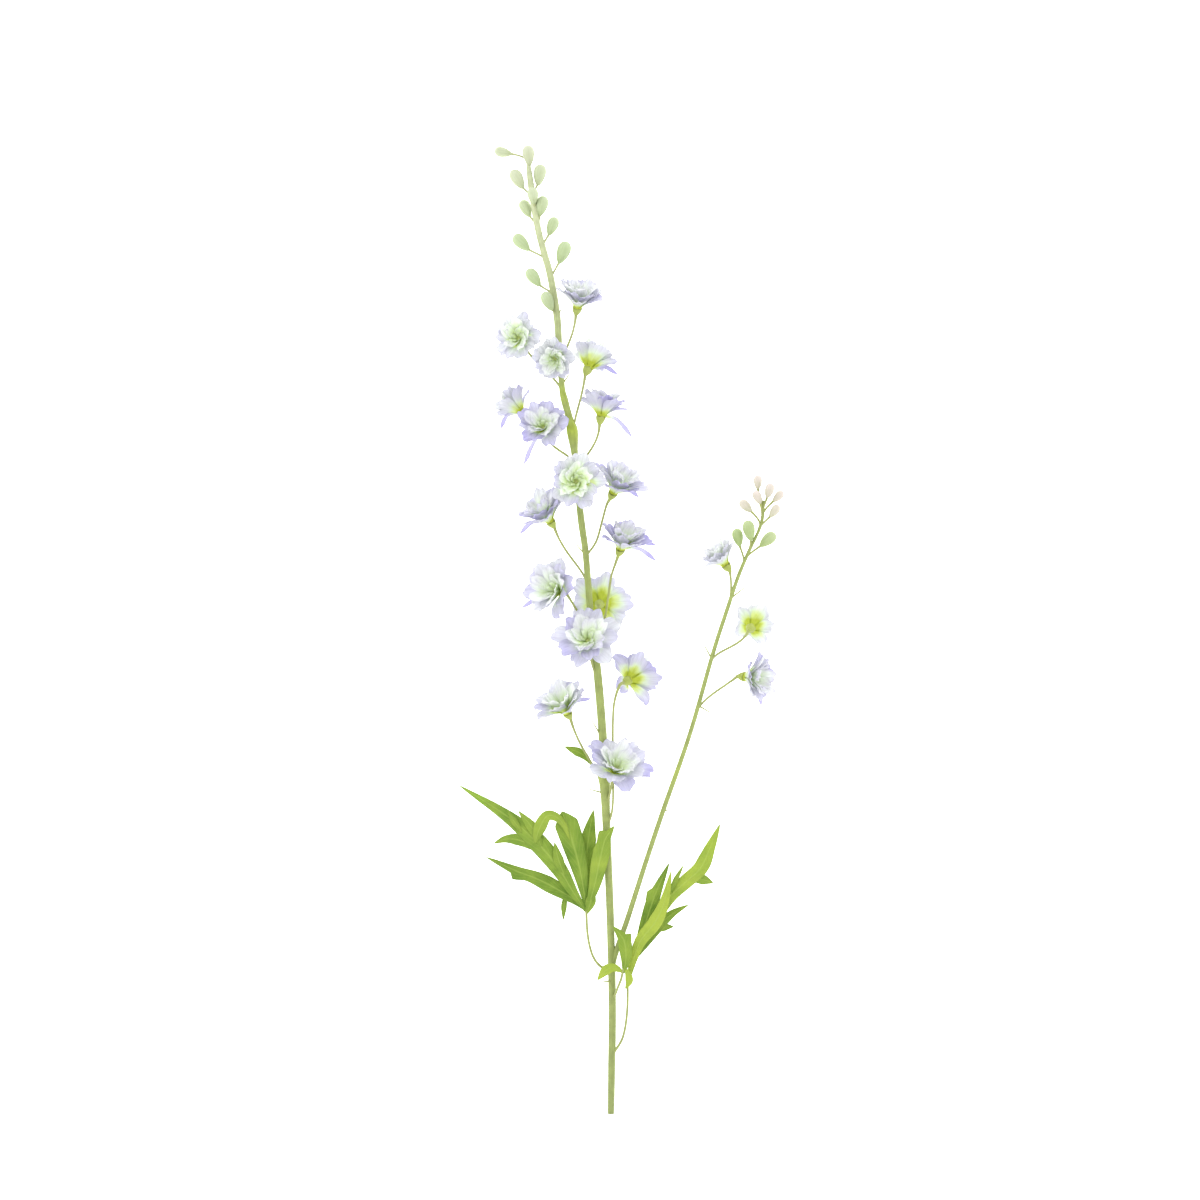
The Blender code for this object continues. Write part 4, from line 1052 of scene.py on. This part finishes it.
MAIN_BUD = bud_material(
    "green_bud",
    ((0.28, 0.39, 0.15), (0.37, 0.48, 0.25)),
    ((0.41, 0.44, 0.27), (0.50, 0.52, 0.40)),
)
BRANCH_BUD = bud_material(
    "pink_bud",
    ((0.26, 0.36, 0.11), (0.35, 0.45, 0.20)),
    ((0.45, 0.44, 0.31), (0.60, 0.53, 0.50)),
)

# %% Both stems with what grows on them
STEM_RIBS = 7
BRANCH_RIBS = 6


def build_stem(name, route, ribs, blooms, buds, bracts, bud_skin):
    """The rod with its stalks, cups, bracts and cut end, and its buds as a second piece."""
    shape = new_shape()
    add_stem(shape, route, ribs)
    for bloom in blooms:
        add_pedicel(shape, bloom, route)
        add_calyx(shape, bloom)
    for bud in buds:
        add_bud_stalk(shape, bud, route)
    for root, tip in bracts:
        add_bract(shape, root, tip)
    for cap in close_ends(shape):
        if cap.normal.y < -0.8 and cap.calc_center_median().y < 1.0:
            cap.material_index = 1
    finish_piece(name + "_skin", shape, [STEM, CUT], [name])
    shape = new_shape()
    for bud in buds:
        add_bud(shape, bud)
    close_ends(shape)
    finish_piece(name + "_buds", shape, [bud_skin])


build_stem("main_stem", STEM_ROUTE, STEM_RIBS, MAIN_BLOOMS, MAIN_BUDS, MAIN_BRACTS, MAIN_BUD)
build_stem("side_branch", BRANCH_ROUTE, BRANCH_RIBS, BRANCH_BLOOMS, BRANCH_BUDS, BRANCH_BRACTS, BRANCH_BUD)

# %% [markdown]
# ## Leaves
# A delphinium leaf is palmate: long lobes spread like fingers from the end of a thin stalk, each cut into
# side lobes and teeth. Each lobe here is a bent sheet along its midrib, with the same midribs, widths and
# teeth as in the solids. After the half width comes its tone, from deep green to the bright green of a lobe
# that the light falls on. The lobes meet at the end of the stalk, under each other's edges.

# %% The table of lobes
Lobe = namedtuple("Lobe", "midrib half_width tone widest teeth", defaults=[0.58, ()])

LEFT_STALK = [
    (-1, 128, 8, 1.3), (-9.5, 131.5, 12, 1.2), (-16.5, 142, 15.5, 1.1), (-20.5, 160, 17, 1.1),
    (-21.8, 184, 17, 1.1),
]
LEFT_LOBES = [
    Lobe(
        [(-20.5, 178, 17), (-33, 197, 20), (-45, 217, 21.5), (-62, 238, 19), (-82, 256, 10),
         (-100, 268.5, 2), (-116, 278.5, 0), (-134.9, 290.4, 0)],
        8.4, 0.35, 0.46,
    ),
    Lobe([(-58, 231, 19.6), (-78, 241.5, 13), (-92, 243, 7.5), (-103.7, 238.7, 3)], 5, 0.4),
    Lobe([(-60, 234, 19.4), (-68, 252, 18), (-81.5, 268.3, 13)], 4.5, 0.45),
    Lobe([(-39, 207, 20.6), (-46, 226, 23), (-49.6, 241.4, 22)], 4.5, 0.4),
    Lobe(
        [(-20.5, 180, 16.6), (-32, 190, 15.5), (-45, 198, 12.5), (-64.2, 207.5, 7), (-83.4, 214.5, 2.5),
         (-111.1, 226.8, 0)],
        7, 0.3, 0.42, [(0.68, 1, 4)],
    ),
    Lobe([(-38, 199, 13.8), (-41, 187, 11), (-42, 171, 8)], 2.6, 0.3),
    Lobe([(-78, 249, 12.5), (-86, 260, 11), (-91.1, 269, 9.5)], 3, 0.5, 0.5),
    Lobe(
        [(-67, 240, 18.5), (-62, 255, 22.5), (-56, 264.5, 25.5), (-48, 263.5, 26.5), (-41, 256, 26),
         (-36, 243, 25)],
        5.6, 0.55, 0.3,
    ),
    Lobe([(-21.2, 181, 17), (-26.5, 214, 21.5), (-33.5, 241, 23.5), (-43, 268.5, 23)], 10.5, 0.25, 0.88),
    Lobe([(-21.5, 181, 16.8), (-22.5, 214, 16.5), (-19.5, 246, 16), (-15.2, 269.2, 13)], 7, 0.45, 0.7),
    Lobe(
        [(-21.5, 179, 17.2), (-14.5, 203, 23), (-9.5, 227, 27), (-5, 244, 29.5), (3, 256.2, 30)],
        7.6, 0.5, 0.7, [(0.84, 1, 3.5)],
    ),
    Lobe([(-21.3, 178, 17.4), (-17.5, 190, 20), (-16, 203, 22)], 4.5, 0.6, 0.5),
]
RIGHT_STALK = [
    (1, 52, 5, 1.2), (10.5, 68, 7, 1.1), (14.4, 92, 9, 1.1), (14.8, 124, 12, 1.1),
]
RIGHT_LOBES = [
    Lobe(
        [(14.6, 118, 12), (19.5, 138, 17), (26.6, 155.5, 22), (38.5, 171, 26), (47, 190, 28), (53, 217, 25)],
        6.2, 1,
    ),
    Lobe(
        [(15.5, 118, 11.6), (24, 145, 14), (38, 172, 15.5), (52, 193, 16), (66, 206, 15), (79, 218, 14),
         (87.5, 236, 12), (96.5, 256.8, 8)],
        6.6, 0.7, 0.78,
    ),
    Lobe([(68, 208, 14.8), (79, 208, 13), (90.4, 204.5, 9)], 4.5, 0.4),
    Lobe([(50, 192, 15.8), (57, 208, 17), (63.9, 220.7, 16)], 2.2, 0.5),
    Lobe(
        [(20, 137, 13.4), (29, 165, 16.5), (39, 195, 19), (51.5, 223.5, 19)],
        6, 0.25, teeth=[(0.64, 1, 2.5)],
    ),
    Lobe([(20, 136, 13), (40, 164, 9), (54, 177, 7), (69.2, 185, 4)], 5, 0.35),
    Lobe([(37, 161, 9.5), (46, 165, 7.5), (55.5, 165.5, 5)], 3.5, 0.35),
]
FORK_STALK = [
    (1.5, 102, 6.5, 1.2), (4.2, 107.5, 12, 1.1), (6.2, 113.5, 17, 1.1), (9, 121, 20, 1.1),
    (11, 131, 21.8, 1),
]
FORK_LOBES = [
    Lobe(
        [(11.2, 126, 21.4), (13.2, 141, 24.5), (11, 156, 26), (1.5, 168, 25)],
        6, 0.45, teeth=[(0.66, -1, 3)],
    ),
    Lobe([(11, 127, 21.4), (3, 131, 23), (-4, 129, 22), (-12, 119.5, 17)], 4.5, 0.9),
    Lobe([(11, 130, 21.6), (14.5, 127, 22.5), (16, 119, 21), (12.5, 112, 19.5)], 3.5, 0.9),
]
UPPER_STALK = [
    (-6.5, 294, 18, 1), (-14, 303, 15, 0.9), (-19, 312, 14.5, 0.9),
]
UPPER_LOBES = [
    Lobe([(-17.5, 309.5, 14.6), (-25, 318, 16), (-41, 325, 16)], 4, 0.35),
]

# %% [markdown]
# The outline of a lobe swells from its foot to its widest place and runs out to a sharp tip. The two halves
# fall away a little from the midrib, a tooth pulls the edge outwards and forwards, and the edge waves gently.

# %% One lobe
LOBE_ROWS = 44
LOBE_COLUMNS = 10
LOBE_FOOT = 0.8
LOBE_FOLD = 0.14
LOBE_WAVE = 0.5
TOOTH_REACH = 0.07
TOOTH_FORWARD = 0.9
LEAF_THICKNESS = 0.45


def lobe_half_width(lobe, share):
    """Half the width of a lobe's plain outline at this share of its length."""
    rise = min(1.0, share / lobe.widest)
    fall = min(1.0, (1.0 - share) / (1.0 - lobe.widest))
    foot = LOBE_FOOT * (1.0 - share)
    return foot + (lobe.half_width - foot) * sin(rise * pi / 2.0) * fall**0.8


def add_lobe(shape, lobe, chance):
    """A sheet along the lobe's midrib."""
    midrib = even_route(smooth_route(lobe.midrib, 12), LOBE_ROWS)
    wave_shift = chance.uniform(0.0, 2.0 * pi)

    def place(across, along):
        row = round(along * LOBE_ROWS)
        run = run_at(midrib, row)
        left = UP.cross(run).normalized()
        width = lobe_half_width(lobe, along)
        reach = 0.0
        for tooth_share, tooth_side, tooth_reach in lobe.teeth:
            if across * tooth_side < 0.0:
                reach += tooth_reach * max(0.0, 1.0 - abs(along - tooth_share) / TOOTH_REACH)
        spread = (width + reach) * -across
        point = midrib[row] + left * spread + run * reach * TOOTH_FORWARD * abs(across)
        point.z -= LOBE_FOLD * abs(spread)
        point.z += LOBE_WAVE * across**2 * sin(4.0 * pi * along + wave_shift) * width / 6.0
        point.z = max(point.z, LEAF_THICKNESS / 2.0)
        return point

    add_sheet(shape, LOBE_COLUMNS, LOBE_ROWS, place, lobe.tone)


# %% [markdown]
# ### The green of the leaves
# The midrib and the side veins that branch off it are paler than the blade and stand a little proud of it.
# They are drawn on the UV map: the midrib is its middle line, and the side veins are slanted lines that run
# forwards to the edge. Between them the blade is mottled, and each lobe is darkest at its foot.


# %% The leaf material
LEAF_DEEP = (0.11, 0.22, 0.02)
LEAF_MIDDLE = (0.235, 0.35, 0.045)
LEAF_BRIGHT = (0.39, 0.49, 0.065)
LEAF_VEIN = (0.41, 0.53, 0.11)
SIDE_VEINS = 11.0
VEIN_SLANT = 0.5
VEIN_SHARE = 0.45


def vein_mask(tree, axes):
    """The midrib and the slanted side veins, as one mask from 0 to 1."""
    across = math_node(tree, "ABSOLUTE", math_node(tree, "SUBTRACT", axes["X"], 0.5))
    midrib = map_range(tree, across, 0.02, 0.07, 1.0, 0.0)
    slant = math_node(tree, "SUBTRACT", axes["Y"], math_node(tree, "MULTIPLY", across, VEIN_SLANT))
    place = math_node(tree, "FRACT", math_node(tree, "MULTIPLY", slant, SIDE_VEINS))
    gap = math_node(tree, "ABSOLUTE", math_node(tree, "SUBTRACT", place, 0.5))
    side = map_range(tree, gap, 0.02, 0.12, 0.6, 0.0)
    return math_node(tree, "MAXIMUM", midrib, side)


def leaf_material():
    material, tree, shader = new_material("leaf", roughness=0.5, gloss=0.2)
    axes = surface_axes(tree)
    drift = drift_by(tree, object_noise(tree, 60.0, detail=4.0), 1.1)
    # The blade's colour is darker towards the foot of each lobe and lighter towards its tip.
    darker_at_foot = drift_by(tree, axes["Y"], 0.15)
    shade = math_node(tree, "ADD", math_node(tree, "ADD", painted(tree, "tone"), drift), darker_at_foot)
    blade = colour_ramp(tree, shade, [(0.0, LEAF_DEEP), (0.45, LEAF_MIDDLE), (1.0, LEAF_BRIGHT)])
    veins = vein_mask(tree, axes)
    green = mix_colours(tree, math_node(tree, "MULTIPLY", veins, VEIN_SHARE), blade, LEAF_VEIN)
    feed(tree, shader.inputs["Base Color"], green)
    streaks = add_streaks(tree, lines=30.0, stretch=8.0)
    relief = math_node(tree, "ADD", veins, math_node(tree, "MULTIPLY", streaks, 0.5))
    add_bump(tree, shader, relief, strength=0.5, distance=0.0005)
    let_light_through(tree, shader, green, 0.25)
    return material


LEAF = leaf_material()

# %% All the leaves
STALK_ROWS = 40
LEAVES = [
    ("leaf_left", LEFT_STALK, LEFT_LOBES),
    ("leaf_right", RIGHT_STALK, RIGHT_LOBES),
    ("leaf_fork", FORK_STALK, FORK_LOBES),
    ("leaf_upper", UPPER_STALK, UPPER_LOBES),
]


def add_leaf_stalk(shape, stalk):
    """The thin stalk of a leaf, rounded at both ends."""
    points = even_route(smooth_route(stalk, 10), STALK_ROWS)

    def radius_at(angle, along):
        ending = min(1.0, along / 0.02, (1.0 - along) / 0.06) ** 0.5
        return points[round(along * STALK_ROWS)][3] * ending

    add_roll(shape, points, radius_at, 12, 0.6)


for number, (name, stalk, lobes) in enumerate(LEAVES):
    chance = Random(500 + number)
    shape = new_shape()
    for lobe in lobes:
        add_lobe(shape, lobe, chance)
    finish_piece(name + "_blade", shape, [LEAF], [name], LEAF_THICKNESS)
    shape = new_shape()
    add_leaf_stalk(shape, stalk)
    close_ends(shape)
    finish_piece(name + "_stalk", shape, [STEM])
